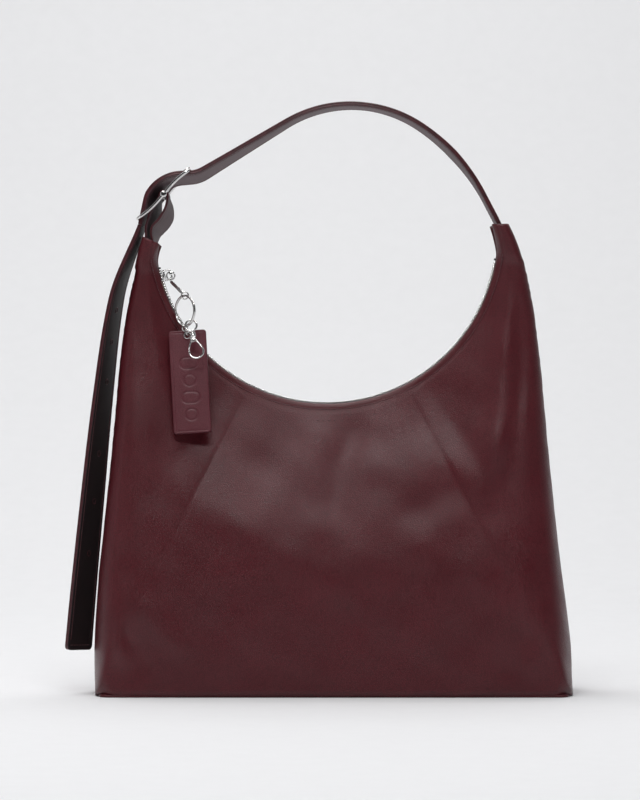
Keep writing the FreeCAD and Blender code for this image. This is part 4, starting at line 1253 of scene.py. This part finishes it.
def rail_height(x):
    """The buckle's rails curve one way and then the other."""
    return 1.15 * math.sin(math.pi * x / REACH)


def buckle():
    """Cast frame with S-shaped rails, its centre bar, and the prong."""
    pile = Pile()
    path = rounded_outline(REACH, HALF_BUCKLE, 3.6)
    dense = []
    for first, second in zip(path, path[1:] + path[:1]):
        count = max(1, int(math.dist(first, second) / 1.5))
        for step in range(count):
            x = first[0] + (second[0] - first[0]) * step / count
            y = first[1] + (second[1] - first[1]) * step / count
            dense.append(BUCKLE_FRAME @ Vector((x, y, rail_height(x))))
    pile.tube(dense, 1.32, 14, closed=True)
    for side in (-1, 1):
        turned = (BUCKLE_FRAME @ Matrix.Translation((0, side * (HALF_BUCKLE - 0.2), 0))
                  @ Matrix.Rotation(math.radians(-90.0 * side), 4, "X"))
        boss = [(-1.6, 1.3), (-1.3, 2.2), (-0.7, 2.55), (0.9, 2.55), (1.4, 2.2), (1.55, 1.2)]
        lathe(pile, boss, turned, 24)
    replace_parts(pile.piece("cast_buckle", [NICKEL], "strap", "nickel"), "buckle_frame")
    pile = Pile()
    pile.tube([BUCKLE_FRAME @ Vector((0, y, 0)) for y in np.linspace(-18.2, 18.2, 9)], 1.38, 18)
    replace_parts(pile.piece("centre_bar", [NICKEL], "strap", "nickel"), "buckle_bar")
    pile = Pile()
    eye = [BUCKLE_FRAME @ Vector((2.1 * math.cos(turn), 0, 2.1 * math.sin(turn)))
           for turn in [math.radians(30 + 12 * step) for step in range(27)]]
    rings = tube_rings(eye, 0.62, 12, flat=2.2)
    pile.add(*skin(rings))
    stem = [Vector((1.9, 0, 1.3)), Vector((6, 0, 2.4)), Vector((14, 0, 3.1)), Vector((21, 0, 3.3)),
            Vector((25.5, 0, 3.1)), Vector((28.2, 0, 2.6))]
    sizes = (1.2, 1.35, 1.25, 1.15, 1.0, 0.75)
    rings = []
    for point, size in zip(stem, sizes):
        rings.append([BUCKLE_FRAME @ (point + Vector((0, size * math.cos(turn), 0.8 * size * math.sin(turn))))
                      for turn in turns(14)])
    pile.add(*skin(rings))
    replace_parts(pile.piece("prong", [NICKEL], "prong", "nickel"), "buckle_prong")


buckle()

# --------------------------------------------------- the nodes that stay CAD

KEPT = {
    LINING: ("zip_pocket", "slip_pocket"),
    TAPE: ("zip_tape_front", "zip_tape_back", "pocket_zip_tape"),
    NICKEL: ("zip_end_stops", "pocket_zip_teeth", "pocket_zip_slider"),
    BOARD: ("base_board",),
    BACKING: ("left_strap_root", "right_strap_root"),
    TAG_LEATHER: ("pocket_pull", "inner_label"),
}
for material, names in KEPT.items():
    for name in names:
        mesh = NODE[name].data
        mesh.materials.clear()
        mesh.materials.append(material)

# ---------------------------------------------------- floor, light and camera


def stage():
    """A pale floor that curves up into the wall behind."""
    profile = [(-4.0, 0.0), (0.6, 0.0)]
    profile += [(0.6 + 1.6 * math.sin(turn), 1.6 - 1.6 * math.cos(turn))
                for turn in [math.radians(7.5 * step) for step in range(1, 13)]]
    profile += [(2.2, 5.0)]
    points, faces = [], []
    for y, z in profile:
        points += [(-6.0, y, z), (6.0, y, z)]
    for row in range(len(profile) - 1):
        faces.append((2 * row, 2 * row + 1, 2 * row + 3, 2 * row + 2))
    mesh = bpy.data.meshes.new("studio")
    mesh.from_pydata(points, [], faces)
    mesh.polygons.foreach_set("use_smooth", [True] * len(faces))
    shader = Shader("studio_paper")
    grain = shader.noise(60.0, 3.0)
    shader.join(shader.mixed(grain, (0.79, 0.79, 0.80), (0.82, 0.82, 0.83)), "Base Color")
    shader.set(Roughness=0.9)
    mesh.materials.append(shader.material)
    floor = bpy.data.objects.new("studio", mesh)
    bpy.context.scene.collection.objects.link(floor)


def softbox(name, place, aim, size, power, colour=(1.0, 1.0, 1.0)):
    """A rectangular soft light aimed at a point."""
    lamp = bpy.data.lights.new(name, "AREA")
    lamp.shape = "RECTANGLE"
    lamp.size, lamp.size_y = size
    lamp.energy = power
    lamp.color = colour
    item = bpy.data.objects.new(name, lamp)
    item.location = place
    item.rotation_euler = (Vector(aim) - Vector(place)).to_track_quat("-Z", "Y").to_euler()
    bpy.context.scene.collection.objects.link(item)


stage()
softbox("top_box", (-0.30, -0.20, 1.75), (0.0, 0.0, 0.15), (1.5, 0.8), 16.0)
softbox("front_box", (-0.05, -1.45, 1.65), (0.0, 0.0, 0.25), (1.1, 0.25), 13.0)
softbox("left_box", (-1.8, -1.0, 0.9), (0.0, 0.0, 0.2), (0.6, 1.2), 2.2)
softbox("right_box", (1.8, -0.9, 0.8), (0.0, 0.0, 0.2), (0.6, 1.2), 0.5)
softbox("wall_box", (0.0, 0.9, 2.6), (0.0, 2.2, 0.6), (3.0, 1.0), 36.5)

world = bpy.data.worlds.new("room")
world.use_nodes = True
tree = world.node_tree
coordinates = tree.nodes.new("ShaderNodeTexCoord")
parts = tree.nodes.new("ShaderNodeSeparateXYZ")
tree.links.new(coordinates.outputs["Generated"], parts.inputs["Vector"])
ahead = tree.nodes.new("ShaderNodeMapRange")
ahead.interpolation_type = "SMOOTHSTEP"
for socket, number in (("From Min", -0.75), ("From Max", 0.25), ("To Min", 0.035), ("To Max", 0.30)):
    ahead.inputs[socket].default_value = number
tree.links.new(parts.outputs["Y"], ahead.inputs["Value"])
tree.links.new(ahead.outputs["Result"], tree.nodes["Background"].inputs["Strength"])
tree.nodes["Background"].inputs["Color"].default_value = (0.94, 0.96, 1.0, 1.0)
bpy.context.scene.world = world
bpy.context.scene.view_settings.view_transform = "Standard"

CAMERA_DISTANCE = 2.483
lens = bpy.data.cameras.new("camera")
lens.lens = 148.5
lens.sensor_fit = "VERTICAL"
lens.sensor_height = 36.0
lens.clip_end = 20.0
camera = bpy.data.objects.new("camera", lens)
camera.location = (-0.0083, -CAMERA_DISTANCE, 0.2199)
camera.rotation_euler = (math.radians(90.0), 0.0, 0.0)
bpy.context.scene.collection.objects.link(camera)
bpy.context.scene.camera = camera
